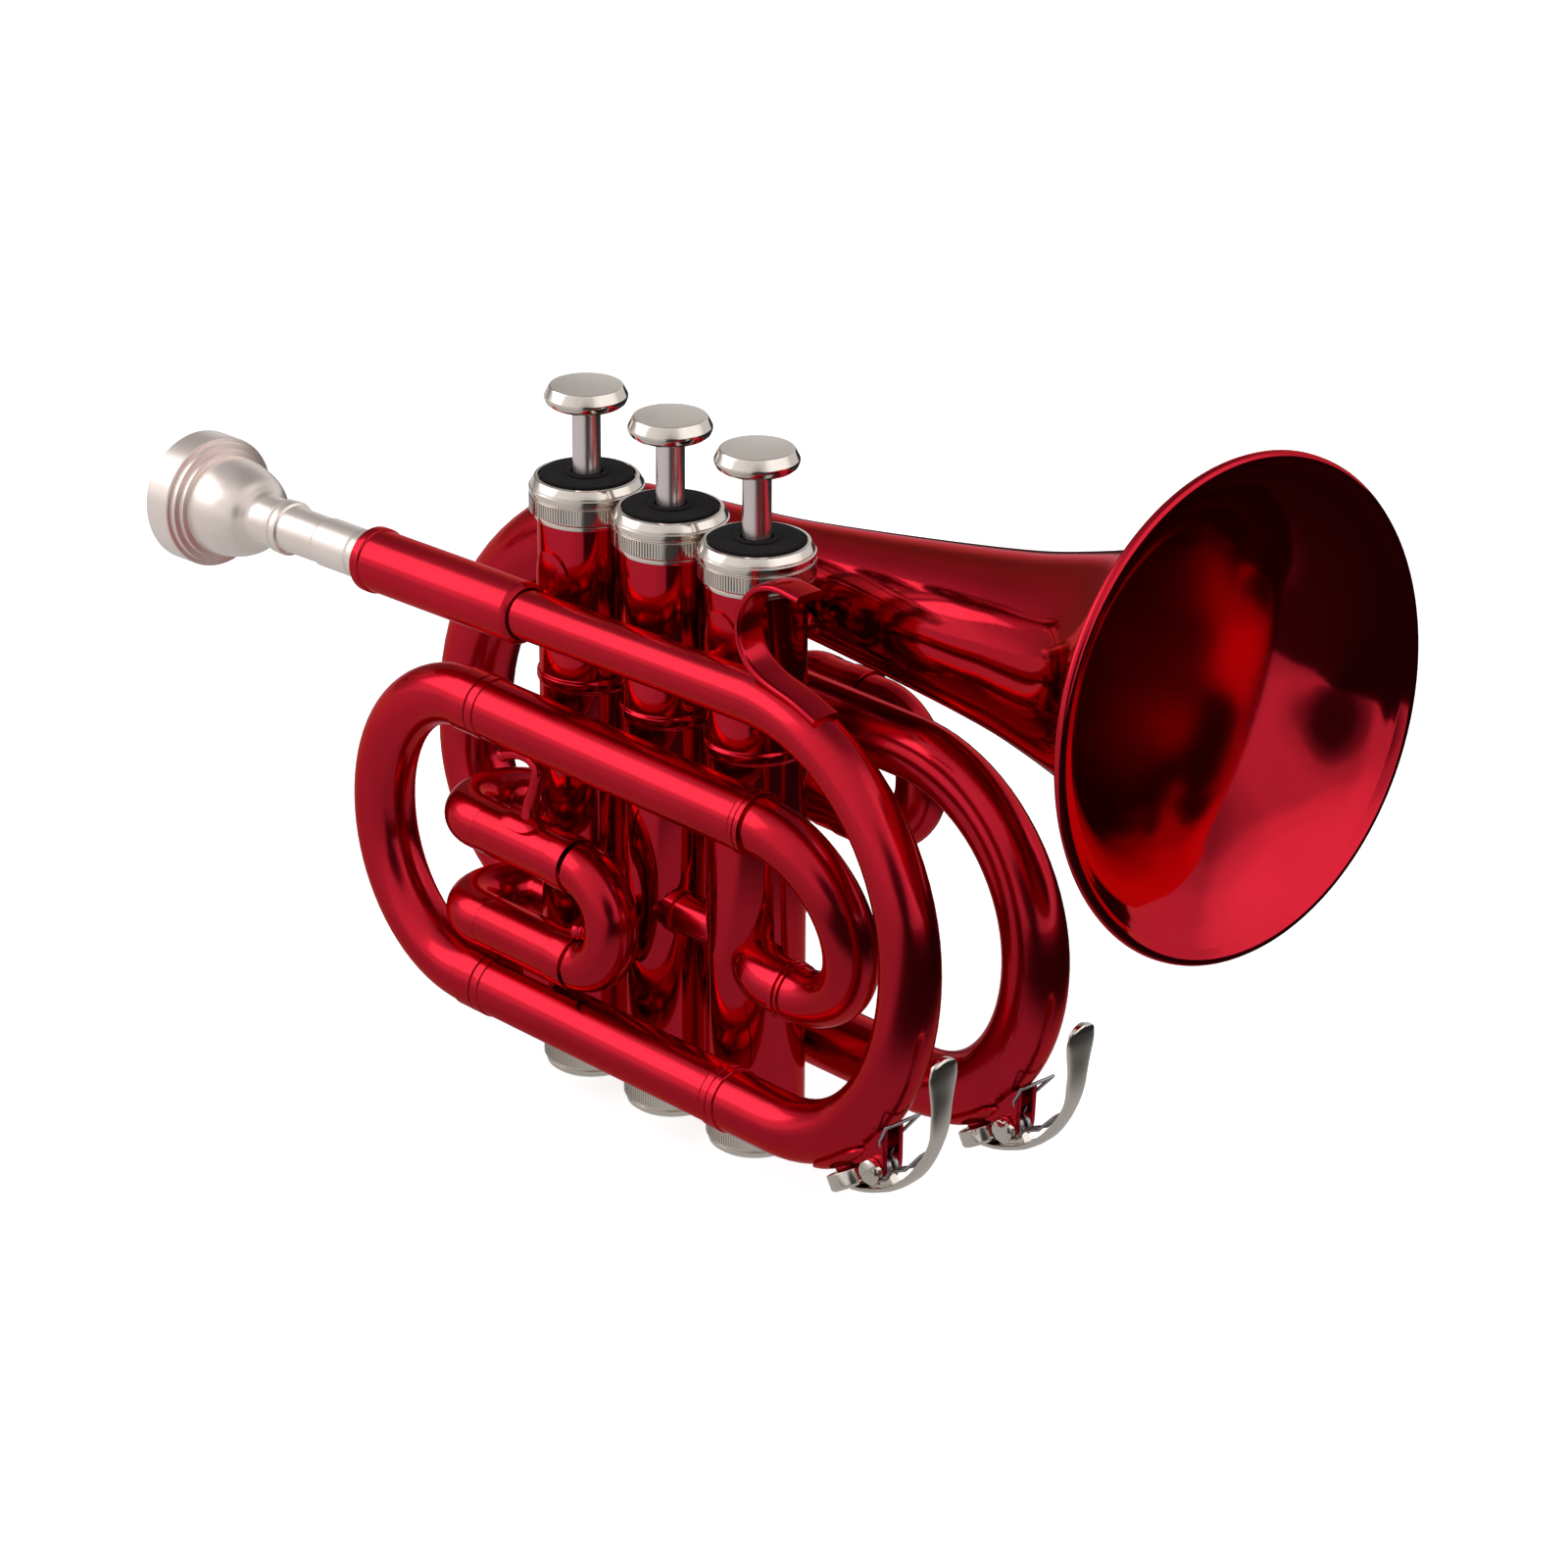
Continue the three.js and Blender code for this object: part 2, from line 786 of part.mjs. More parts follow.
function frontBowRoute() {
  const b = FRONT_BOW;
  const y = LEADPIPE.y;
  const backX = LEADPIPE.frontX + GAP;
  const lowZ = TUNING.lowerZ;
  const r = SLIDE_TUBE.r;
  const middleR = (LEADPIPE.r + r) / 2;
  return route([
    knot(backX, y, leadpipeZ(backX), LEADPIPE.r),
    bendKnot(b.frontX, y, leadpipeZ(b.frontX), middleR, b.frontX - b.startRunX, b.upperDrop),
    bendKnot(b.frontX, y, lowZ, r, b.lowerRise, b.lowerRun),
    knot(b.ferruleX, y, lowZ, r),
    knot(b.ferruleX, y, lowZ, b.ferruleR),
    knot(b.endX, y, lowZ, b.ferruleR),
  ]);
}

function tuningSlideRoute() {
  const t = TUNING;
  const rearX = t.bowX - t.bowR;
  const legs = [t.upperZ, t.lowerZ].map((z) => [
    knot(t.legFrontX, t.y, z, t.legR),
    knot(t.ferruleFrontX, t.y, z, t.legR),
    knot(t.ferruleFrontX, t.y, z, t.ferruleR),
    knot(t.ferruleBackX, t.y, z, t.ferruleR),
    knot(t.ferruleBackX, t.y, z, SLIDE_TUBE.r),
  ]);
  return route([
    ...legs[0],
    bendKnot(rearX, t.y, t.upperZ, SLIDE_TUBE.r, t.bowR - GAP),
    bendKnot(rearX, t.y, t.lowerZ, SLIDE_TUBE.r, t.bowR - GAP),
    ...legs[1].reverse(),
  ]);
}

function innerBowRoute() {
  const b = INNER_BOW;
  const bend = Math.hypot(TUNING.upperZ - b.lowerZ, b.lowerY - TUNING.y) / 2;
  const lowerRingX = b.lowerFerruleX - b.lowerFerruleLength;
  return route([
    knot(b.startX, TUNING.y, TUNING.upperZ, b.ferruleR),
    knot(b.ferruleX, TUNING.y, TUNING.upperZ, b.ferruleR),
    knot(b.ferruleX, TUNING.y, TUNING.upperZ, b.r),
    bendKnot(b.frontX, TUNING.y, TUNING.upperZ, b.r, b.frontX - b.ferruleX - GAP, bend),
    bendKnot(b.frontX, b.lowerY, b.lowerZ, b.r, bend, b.frontX - b.lowerFerruleX - GAP),
    knot(b.lowerFerruleX, b.lowerY, b.lowerZ, b.r),
    knot(b.lowerFerruleX, b.lowerY, b.lowerZ, b.lowerFerruleR),
    knot(lowerRingX, b.lowerY, b.lowerZ, b.lowerFerruleR),
    knot(lowerRingX, b.lowerY, b.lowerZ, b.r),
    bendKnot(b.elbowX, b.lowerY, b.lowerZ, b.r, b.elbowBend),
    knot(VALVE.pitch, 0, b.lowerZ, b.r),
  ]);
}

// One outer tube of the first slide: straight at the front, turned back level into the first valve.
function firstSlideTubeRoute(z) {
  const s = FIRST_SLIDE;
  const bend = (s.innerY - s.y) / 2;
  const rearX = s.turnX - bend;
  return route([
    knot(s.frontX, s.y, z, s.ferruleR),
    knot(s.ferruleX, s.y, z, s.ferruleR),
    knot(s.ferruleX, s.y, z, s.r),
    bendKnot(rearX, s.y, z, s.r, bend - GAP),
    bendKnot(rearX, s.innerY, z, s.r, bend - GAP),
    knot(-VALVE.pitch, s.innerY, z, s.r),
  ]);
}

// A slide's two legs and the bow that joins them, at the heights of its outer tubes.
function slideRoute({ upperZ, lowerZ, legR, bowR, bend, at, legBack, tubeEnd, bowEnd, ferruleR }) {
  const shoulder = tubeEnd + GAP;
  const bendLength = bend - GAP;
  const leg = (z) => [
    { at: at(legBack, z), r: legR },
    { at: at(shoulder, z), r: legR },
    { at: at(shoulder, z), r: ferruleR },
    { at: at(bowEnd - bend, z), r: ferruleR },
    { at: at(bowEnd - bend, z), r: bowR },
  ];
  return route([
    ...leg(upperZ),
    { at: at(bowEnd, upperZ), r: bowR, before: bendLength, after: bendLength },
    { at: at(bowEnd, lowerZ), r: bowR, before: bendLength, after: bendLength },
    ...leg(lowerZ).reverse(),
  ]);
}

function firstSlideSolid() {
  const s = FIRST_SLIDE;
  const body = swept(
    slideRoute({
      ...s,
      at: (x, z) => [x, s.y, z],
      legBack: s.legBackX,
      tubeEnd: s.frontX,
      bowEnd: s.bowX + s.bend,
      ferruleR: s.bowR,
    }),
  );
  const middle = new THREE.Vector3(s.bowX + s.bend, s.y, (s.upperZ + s.lowerZ) / 2);
  return joined(body, moved(pullKnobSolid(s.bowR), aim(middle, new THREE.Vector3(-1, 0, 0))));
}

// A ball on a thin stem with a collar, which starts inside a tube of the given radius.
function pullKnobSolid(tubeR) {
  const k = PULL_KNOB;
  const ballZ = tubeR + k.reach;
  const half = k.ballR * Math.SQRT1_2;
  return turned([
    [0, tubeR / 2],
    [k.collarR, tubeR / 2],
    [k.collarR, tubeR + k.collar],
    [k.stemR, tubeR + k.collar],
    [k.stemR, ballZ - half],
    [k.ballR, ballZ],
    [half, ballZ + half],
    [0, ballZ + k.ballR],
  ], SMALL_SIDES);
}

function secondSlideSolid() {
  const s = SECOND_SLIDE;
  return swept(
    slideRoute({
      ...s,
      bowR: s.r,
      at: (y, z) => [0, y, z],
      legBack: s.legBackY,
      tubeEnd: s.frontY,
      bowEnd: s.bowY + s.bend,
    }),
  );
}

function thirdSlideSolid() {
  const s = THIRD_SLIDE;
  return swept(
    slideRoute({
      ...s,
      upperZ: thirdSlideUpperZ,
      lowerZ: thirdSlideLowerZ,
      bend: s.bowFrontX - s.bowX,
      at: (x, z) => [x, s.y, z],
      legBack: s.legBackX,
      tubeEnd: s.frontX,
      bowEnd: s.bowFrontX,
      ferruleR: s.bowR,
    }),
  );
}

// One outer tube of the third slide, with the knuckle that curls under it into the third valve.
function thirdSlideTubeRoute(z, portZ) {
  const s = THIRD_SLIDE;
  return route([
    knot(s.frontX, s.y, z, s.ferruleR),
    knot(s.ferruleX, s.y, z, s.ferruleR),
    knot(s.ferruleX, s.y, z, s.r),
    bendKnot(s.elbowX, s.turnY, z, s.r, s.turnBend),
    bendKnot(s.elbowX, s.innerY, portZ, s.r, s.portBend),
    knot(s.portX, s.portY, portZ, s.r),
  ]);
}

// A straight bore in a swept tube, from its open front end back along X.
function slideBore(r, y, z, backX, frontX) {
  const bore = rod(r, 0, frontX - backX + GAP, TUBE_SIDES);
  return moved(bore, aim(new THREE.Vector3(backX, y, z), new THREE.Vector3(1, 0, 0)));
}

function bellSideUpperRoute() {
  const b = BELL_SIDE;
  return route([
    knot(-VALVE.pitch, 0, bellSidePortZ, b.r),
    bendKnot(-VALVE.pitch, b.y, bellSidePortZ, b.r, b.portBend),
    bendKnot(b.riseX, b.y, bellSideUpperZ, b.r, b.riseBend, b.jointX - b.riseX - b.ferruleLength),
    knot(b.jointX - b.ferruleLength, b.y, bellSideUpperZ, b.r),
    knot(b.jointX - b.ferruleLength, b.y, bellSideUpperZ, b.ferruleR),
    knot(b.jointX, b.y, bellSideUpperZ, b.ferruleR),
  ]);
}

function bellSideBowRoute() {
  const b = BELL_SIDE;
  return route([
    knot(b.jointX + GAP, b.y, bellSideUpperZ, b.r),
    bendKnot(b.frontX, b.y, bellSideUpperZ, b.r, bellSideBend),
    bendKnot(b.frontX, b.y, b.lowerZ, b.lowerR, bellSideBend, b.lowerRun),
    knot(b.backX, b.y, b.lowerZ, b.lowerR),
  ]);
}

function tailBowRoute() {
  const t = TAIL_BOW;
  const endR = BELL_SIDE.lowerR;
  const height = bellZ(t.rearX) - t.lowerZ;
  const drop = t.upperDropShare * height;
  const rise = t.lowerRiseShare * height;
  return route([
    knot(t.startX, BELL.y, bellZ(t.startX), t.r),
    bendKnot(t.rearX, t.rearUpperY, bellZ(t.rearX), t.upperR, t.upperRun, drop),
    bendKnot(t.rearX, t.rearLowerY, t.lowerZ, t.lowerR, rise, t.lowerRun),
    knot(t.endX - t.ferruleLength, BELL_SIDE.y, BELL_SIDE.lowerZ, endR),
    knot(t.endX - t.ferruleLength, BELL_SIDE.y, BELL_SIDE.lowerZ, t.ferruleR),
    knot(t.endX, BELL_SIDE.y, BELL_SIDE.lowerZ, t.ferruleR),
  ]);
}

// The bell: one spun skin from the stem to the rim, with the rim rolled outwards over a wire.
function bellSolid() {
  const { length, rimR, wall, beadR, beadSides, beadTurn } = BELL;
  const outer = BELL_SHARES.map(([back, r]) => [r * rimR, length - back * length]).reverse();
  const inner = outer.map(([r, z]) => [r - wall, z]);
  const beadMiddle = [rimR - beadR, length - beadR];
  const bead = Array.from({ length: beadSides }, (_, i) => {
    const turn = -Math.PI / 2 + (beadTurn * i) / (beadSides - 1);
    return [beadMiddle[0] + beadR * Math.cos(turn), beadMiddle[1] + beadR * Math.sin(turn)];
  });
  return placedOnBell(turned([...outer, ...bead, ...inner.reverse(), outer[0]], BELL_SIDES));
}

// The room that the bell's stem and flare take with their clearance, without the rim.
function bellSpace() {
  const rows = BELL_SHARES.map(([back, r]) => [r * BELL.rimR + GAP, BELL.length * (1 - back)]);
  const [top, bottom] = [rows[0][1], rows.at(-1)[1]];
  return placedOnBell(turned([[0, bottom], ...rows.reverse(), [0, top]], BELL_SIDES));
}

function placedOnBell(solid) {
  const stemX = BELL.rimX - BELL.length;
  const place = new THREE.Vector3(stemX, BELL.y, bellZ(stemX));
  return moved(solid, aim(place, new THREE.Vector3(1, 0, BELL.slope)));
}

// Leadpipe line
function alongLeadpipe(solid, x) {
  const place = new THREE.Vector3(x, LEADPIPE.y, leadpipeZ(x));
  return moved(solid, aim(place, new THREE.Vector3(1, 0, LEADPIPE.slope)));
}

function receiverSolid() {
  const r = RECEIVER;
  const length = r.frontX - r.backX;
  const socket = r.socketEndX - r.backX;
  const throatR = LEADPIPE.r + GAP;
  const outer = [
    [r.lipR, 0],
    [r.lipR, r.lipLength],
    [r.r, r.lipLength + VALVE.chamfer],
    [r.r, length - r.noseLength],
    [throatR + GAP, length],
  ];
  const inner = [[r.mouthR, 0], [r.socketEndR, socket], [throatR, socket], [throatR, length]];
  return alongLeadpipe(sleeve(outer, inner, ROUND_SIDES), r.backX);
}

function leadpipeSolid() {
  const length = LEADPIPE.frontX - LEADPIPE.backX;
  const ends = (r) => [[r, 0], [r, length]];
  return alongLeadpipe(sleeve(ends(LEADPIPE.r), ends(LEADPIPE.boreR), TUBE_SIDES), LEADPIPE.backX);
}

// The mouthpiece: shank, backbore, throat and cup, turned as one and laid backwards.
function mouthpieceSolid() {
  const m = MOUTHPIECE;
  const scale = ([share, r]) => [r, share * m.length];
  const rimStart = m.length - m.rimWidth;
  const outer = [
    ...MOUTHPIECE_OUTER_SHARES.map(scale),
    [m.rimR, rimStart],
    [m.rimR, m.length - m.rimRound],
    [m.rimR - m.rimRound, m.length - GAP],
    [m.rimFaceR, m.length],
  ];
  const inner = [
    ...MOUTHPIECE_BORE_SHARES.map(scale),
    [m.rimInnerR, m.length - m.rimRound],
    [m.rimInnerR + m.rimRound, m.length - GAP],
  ];
  const body = sleeve(outer, inner, ROUND_SIDES);
  const place = new THREE.Vector3(m.endX, LEADPIPE.y, leadpipeZ(m.endX));
  return moved(body, aim(place, new THREE.Vector3(-1, 0, -LEADPIPE.slope)));
}

// Braces
function leadpipeBraceSolid(x, pipeR) {
  const b = LEADPIPE_BRACE;
  const z = leadpipeZ(x);
  const oval = rod(b.flangeWidth / 2, -REACH, 0, TUBE_SIDES)
    .scale([1, b.flangeHeight / b.flangeWidth, 1])
    .transform(aim(new THREE.Vector3(x, 0, z + b.flangeZ), new THREE.Vector3(0, 1, 0)).elements);
  const skin = casingSpace(x, GAP + b.flange).intersect(oval);
  const post = moved(
    rod(b.postR, LEADPIPE.y, 0, SMALL_SIDES),
    aim(new THREE.Vector3(x, 0, z), new THREE.Vector3(0, 1, 0)),
  );
  const pipe = widened(route([
    knot(-REACH, LEADPIPE.y, leadpipeZ(-REACH), pipeR),
    knot(REACH, LEADPIPE.y, leadpipeZ(REACH), pipeR),
  ]));
  const pieces = cut(joined(skin, post), casingSpace(x), swept(pipe), swept(widened(frontBow)));
  return nearestBody(pieces, new THREE.Vector3(x, LEADPIPE.y, z));
}

// Keeps the body of a cut piece that is nearest to a place.
function nearestBody(solid, place) {
  const away = (body) => {
    const { min, max } = body.boundingBox();
    const box = new THREE.Box3(new THREE.Vector3(...min), new THREE.Vector3(...max));
    return box.getCenter(new THREE.Vector3()).distanceTo(place);
  };
  return solid.decompose().sort((a, b) => away(a) - away(b))[0];
}

// A waisted post that stands between two level tubes, with a saddle cut to each.
function postBraceSolid(lowZ, lowR, highZ, highR) {
  const p = POST_BRACE;
  const low = lowZ + lowR + GAP;
  const high = highZ - highR - GAP;
  const flare = p.flareShare * (high - low);
  const post = turned([
    [0, lowZ],
    [p.saddleR, lowZ],
    [p.saddleR, low],
    [p.r, low + flare],
    [p.r, high - flare],
    [p.saddleR, high],
    [p.saddleR, highZ],
    [0, highZ],
  ], SMALL_SIDES);
  const placed = shifted(post, p.x, TUNING.y, 0);
  const upper = slideBore(highR + GAP, TUNING.y, highZ, -REACH, REACH);
  const lower = slideBore(lowR + GAP, TUNING.y, lowZ, -REACH, REACH);
  return nearestBody(cut(placed, upper, lower), new THREE.Vector3(p.x, TUNING.y, low));
}

function bellBraceSolid(x, neighbour) {
  const foot = new THREE.Vector3(x, 0, BELL_BRACE.footZ);
  const reach = new THREE.Vector3(x, BELL.y, bellZ(x)).sub(foot);
  const post = moved(rod(BELL_BRACE.postR, 0, reach.length(), SMALL_SIDES), aim(foot, reach));
  const cap = rod(TOP_CAP.knurlR + GAP, TOP_CAP.skirtZ - GAP, VALVE.topZ);
  const valve = joined(casingSpace(x), shifted(cap, x, 0, 0));
  return nearestBody(cut(post, valve, neighbour), foot.addScaledVector(reach, 0.5));
}

// The finger hook's strip, cut clear of the bow that it stands on.
function hookSolid() {
  const rows = HOOK_PATH.map(([x, rise]) => [x, LEADPIPE.z + rise]);
  const strip = plateAcrossY(stripOutline(rows, HOOK.thickness), HOOK.width, LEADPIPE.y);
  return cut(strip, swept(widened(frontBow)));
}

// The frame of a water key: a place on a bow's lower quarter, its tangent and the way out.
function keyFrame(bow, y, tubeR) {
  const [c, s] = [Math.cos(WATER_KEY.angle), Math.sin(WATER_KEY.angle)];
  const middleX = bow.frontX - bow.lowerRun;
  const middleZ = bow.lowerZ + bow.lowerRise;
  const place = new THREE.Vector3(middleX + bow.lowerRun * c, y, middleZ - bow.lowerRise * s);
  const along = new THREE.Vector3(bow.lowerRun * s, 0, bow.lowerRise * c).normalize();
  const out = new THREE.Vector3(along.z, 0, -along.x);
  const across = new THREE.Vector3().crossVectors(out, along);
  const matrix = new THREE.Matrix4().makeBasis(along, across, out);
  matrix.setPosition(place.addScaledVector(out, tubeR));
  return matrix;
}

// In the key's own frame X runs along the bow, Z out from its surface.
function keyFittings() {
  const k = WATER_KEY;
  const nipple = rod(k.nippleR, 0, k.nippleTop, SMALL_SIDES);
  const earY = k.leverWidth / 2 - k.ear;
  const ears = [-1, 1].map((side) => {
    const foot = k.plateLength / 2 - k.earR;
    const outline = [
      [foot - k.earR, GAP],
      [k.pivotAlong + k.earR, k.pivotOut - k.earR],
      [k.pivotAlong + k.earR, k.pivotOut + k.pivotR],
      [k.pivotAlong - k.pivotR, k.pivotOut + k.earR],
    ];
    return plateAcrossY(outline, k.ear, side * earY);
  });
  const pin = moved(
    rod(k.pivotR, -earY, earY, SMALL_SIDES),
    aim(new THREE.Vector3(k.pivotAlong, 0, k.pivotOut), new THREE.Vector3(0, 1, 0)),
  );
  const bore = rod(k.nippleBoreR, -REACH, REACH, SMALL_SIDES);
  return { fittings: joined(nipple, ...ears, pin), bore };
}

// The saddle: a plate wrapped on the bow, with the nipple, the ears and the pivot pin on it.
function keySaddleSolid(stations, matrix) {
  const k = WATER_KEY;
  const patch = solidOf(new THREE.BoxGeometry(k.plateLength, k.plateWidth, 2 * k.plateWidth));
  const outside = shifted(patch, 0, 0, k.plateWidth / 2);
  const wrap = swept(widened(stations, GAP + k.plate)).intersect(moved(outside, matrix));
  const { fittings, bore } = keyFittings();
  const whole = joined(wrap, moved(fittings, matrix));
  const clear = cut(whole, swept(widened(stations)), moved(bore, matrix));
  return nearestBody(clear, new THREE.Vector3().setFromMatrixPosition(matrix));
}

function leverSolid() {
  const k = WATER_KEY;
  const strip = plateAcrossY(stripOutline(LEVER_PATH, k.thickness), k.leverWidth, 0);
  const cupLow = k.nippleTop + k.corkGap + k.cork;
  const cup = turned([
    [0, cupLow + GAP],
    [k.corkR + GAP, cupLow + GAP],
    [k.corkR + GAP, k.nippleTop + k.cork / 2],
    [k.cupR, k.nippleTop + k.cork / 2],
    [k.cupR, cupLow + k.cupFloor],
    [0, cupLow + k.cupFloor],
  ], TUBE_SIDES);
  const earInner = k.leverWidth / 2 - k.ear - k.ear / 2 - GAP;
  const barrel = moved(
    rod(k.barrelR, -earInner, earInner, SMALL_SIDES),
    aim(new THREE.Vector3(k.pivotAlong, 0, k.pivotOut), new THREE.Vector3(0, 1, 0)),
  );
  const web = new THREE.BoxGeometry(k.barrelR * 2, earInner * 2, k.pivotOut + k.barrelR);
  web.translate(k.pivotAlong, 0, k.pivotOut + (k.pivotOut + k.barrelR) / 2);
  const pinHole = moved(
    rod(k.pivotR + GAP, -REACH, REACH, SMALL_SIDES),
    aim(new THREE.Vector3(k.pivotAlong, 0, k.pivotOut), new THREE.Vector3(0, 1, 0)),
  );
  return cut(joined(strip, cup, barrel, solidOf(web)), pinHole);
}

function corkSolid() {
  const k = WATER_KEY;
  const low = k.nippleTop + k.corkGap;
  return rod(k.corkR, low, low + k.cork, TUBE_SIDES);
}

// Assembly
const frontBow = frontBowRoute();
const bellSideBow = bellSideBowRoute();
const tailBow = tailBowRoute();

function addLeadpipeLine() {
  addNode("mouthpiece", mouthpieceSolid(), silver());
  addNode("mouthpiece_receiver", receiverSolid(), lacquer());
  addNode("leadpipe", leadpipeSolid(), lacquer());
  addNode("leadpipe_front_bow", swept(frontBow), lacquer());
}

function addTuningSlide() {
  const ring = { r: SLIDE_TUBE.ringR, length: SLIDE_TUBE.ringLength };
  const common = { ...SLIDE_TUBE, y: TUNING.y, backRing: ring };
  const upper = straightTube({ ...common, z: TUNING.upperZ, frontX: TUNING.upperFrontX });
  const lower = straightTube({ ...common, z: TUNING.lowerZ, frontX: TUNING.lowerFrontX });
  addNode("tuning_outer_tube_upper", upper, lacquer());
  addNode("tuning_outer_tube_lower", lower, lacquer());
  addNode("main_tuning_slide", swept(tuningSlideRoute()), lacquer());
}

function addInnerBow() {
  const bow = cut(swept(innerBowRoute()), casingSpace(VALVE.pitch));
  const front = new THREE.Vector3(INNER_BOW.frontX, TUNING.y, INNER_BOW.lowerZ);
  addNode("inner_bow", nearestBody(bow, front), lacquer());
}

// The bores that open into each casing, as seen from its own axis.
function casingPorts() {
  const link = (side) => portHole(PISTON.windwayR, INTERVALVE.z, [side, 0, 0]);
  const first = FIRST_SLIDE;
  const third = THIRD_SLIDE;
  return [
    [
      link(1),
      portHole(first.legR, first.upperZ, [-1, 0, 0]),
      portHole(first.legR, first.lowerZ, [-1, 0, 0]),
      portHole(first.bowR, bellSidePortZ, [0, 1, 0]),
    ],
    [
      link(1),
      link(-1),
      portHole(SECOND_SLIDE.legR, SECOND_SLIDE.upperZ, [0, 1, 0]),
      portHole(SECOND_SLIDE.legR, SECOND_SLIDE.lowerZ, [0, 1, 0]),
    ],
    [
      link(-1),
      portHole(first.legR, INNER_BOW.lowerZ, INNER_BOW.portHeading),
      portHole(third.legR, thirdPortUpperZ, third.portHeading),
      portHole(third.legR, thirdPortLowerZ, third.portHeading),
    ],
  ];
}

function addValves() {
  const ports = casingPorts();
  valveXs.forEach((x, i) => {
    const group = new THREE.Group();
    group.position.x = x;
    root.add(group);
    const n = i + 1;
    addNode("valve_casing_" + n, casingSolid(ports[i]), lacquer(), group);
    addNode("top_cap_" + n, topCapSolid(), nickel(), group);
    addNode("bottom_cap_" + n, bottomCapSolid(), nickel(), group);
    addNode("cap_felt_" + n, capFeltSolid(), blackFelt(), group);
    addNode("piston_" + n, pistonSolid(), monel(), group);
    addNode("valve_guide_" + n, guideSolid(), guidePlastic(), group);
    addNode("finger_button_" + n, buttonSolid(), nickel(), group);
    const stations = springStations();
    const spring = swept(stations, 0, SPRING.wireSides);
    addNode("valve_spring_" + n, spring, springSteel(), group);
  });
  console.log("least gap between spring curls", leastCurlGap(springStations()).toFixed(2), "mm");
}

function addIntervalveTubes() {
  [0, 1].forEach((i) => {
    const [back, front] = [valveXs[i], valveXs[i + 1]];
    const whole = rod(INTERVALVE.r, 0, front - back, TUBE_SIDES);
    const place = new THREE.Vector3(back, 0, INTERVALVE.z);
    const laid = moved(whole, aim(place, new THREE.Vector3(1, 0, 0)));
    const tube = cut(laid, casingSpace(back), casingSpace(front));
    addNode("intervalve_tube_" + (i + 1) + "_" + (i + 2), tube, lacquer());
  });
}

function addFirstSlide() {
  const s = FIRST_SLIDE;
  [["upper", s.upperZ], ["lower", s.lowerZ]].forEach(([word, z]) => {
    const bore = slideBore(s.boreR, s.y, z, s.turnX, s.frontX);
    const tube = cut(swept(firstSlideTubeRoute(z)), bore, casingSpace(-VALVE.pitch));
    addNode("first_slide_tube_" + word, tube, lacquer());
  });
  addNode("first_valve_slide", firstSlideSolid(), lacquer());
}

function addSecondSlide() {
  const s = SECOND_SLIDE;
  [["upper", s.upperZ], ["lower", s.lowerZ]].forEach(([word, z]) => {
    const length = s.frontY - s.backY;
    const body = sleeve([[s.r, 0], [s.r, length]], [[s.boreR, 0], [s.boreR, length]], TUBE_SIDES);
    const place = new THREE.Vector3(0, s.backY, z);
    const laid = moved(body, aim(place, new THREE.Vector3(0, 1, 0)));
    addNode("second_slide_tube_" + word, cut(laid, casingSpace(0)), lacquer());
  });
  addNode("second_valve_slide", secondSlideSolid(), lacquer());
}

function addThirdSlide() {
  const s = THIRD_SLIDE;
  const rows = [
    ["upper", thirdSlideUpperZ, thirdPortUpperZ],
    ["lower", thirdSlideLowerZ, thirdPortLowerZ],
  ];
  rows.forEach(([word, z, portZ]) => {
    const bore = slideBore(s.boreR, s.y, z, s.tubeBackX, s.frontX);
    const tube = cut(swept(thirdSlideTubeRoute(z, portZ)), bore, casingSpace(VALVE.pitch));
    addNode("third_slide_tube_" + word, tube, lacquer());
  });
  addNode("third_valve_slide", thirdSlideSolid(), lacquer());
}

function addBellLine() {
  const upper = cut(swept(bellSideUpperRoute()), casingSpace(-VALVE.pitch));
  addNode("bell_side_upper_tube", upper, lacquer());
  addNode("bell_side_front_bow", swept(bellSideBow), lacquer());
  addNode("bell_tail_bow", swept(tailBow), lacquer());
  addNode("bell", bellSolid(), lacquer());
}

function addBraces() {
  addNode("finger_hook", hookSolid(), lacquer());
  addNode("leadpipe_brace_1", leadpipeBraceSolid(-VALVE.pitch, RECEIVER.r), lacquer());
  addNode("leadpipe_brace_3", leadpipeBraceSolid(VALVE.pitch, LEADPIPE.r), lacquer());
  const pill = FIRST_SLIDE;
  const upper = postBraceSolid(pill.upperZ, pill.r, TUNING.upperZ, SLIDE_TUBE.r);
  const lower = postBraceSolid(TUNING.lowerZ, SLIDE_TUBE.r, pill.lowerZ, pill.r);
  addNode("slide_brace_upper", upper, lacquer());
  addNode("slide_brace_lower", lower, lacquer());
  const bellLine = joined(swept(widened(tailBow)), bellSpace());
  addNode("bell_brace_1", bellBraceSolid(-VALVE.pitch, bellLine), lacquer());
  addNode("bell_brace_3", bellBraceSolid(VALVE.pitch, bellLine), lacquer());
}

function addWaterKeys() {
  const bows = [
    [{ ...FRONT_BOW, lowerZ: TUNING.lowerZ }, TUNING.y, SLIDE_TUBE.r, frontBow],
    [{ ...BELL_SIDE, lowerRise: bellSideBend }, BELL_SIDE.y, BELL_SIDE.lowerR, bellSideBow],
  ];
  bows.forEach(([bow, y, tubeR, stations], i) => {
    const n = i + 1;
    const matrix = keyFrame(bow, y, tubeR);
    addNode("water_key_saddle_" + n, keySaddleSolid(stations, matrix), lacquer());
    addNode("water_key_lever_" + n, moved(leverSolid(), matrix), nickel());
    addNode("water_key_cork_" + n, moved(corkSolid(), matrix), corkPad());
  });
}

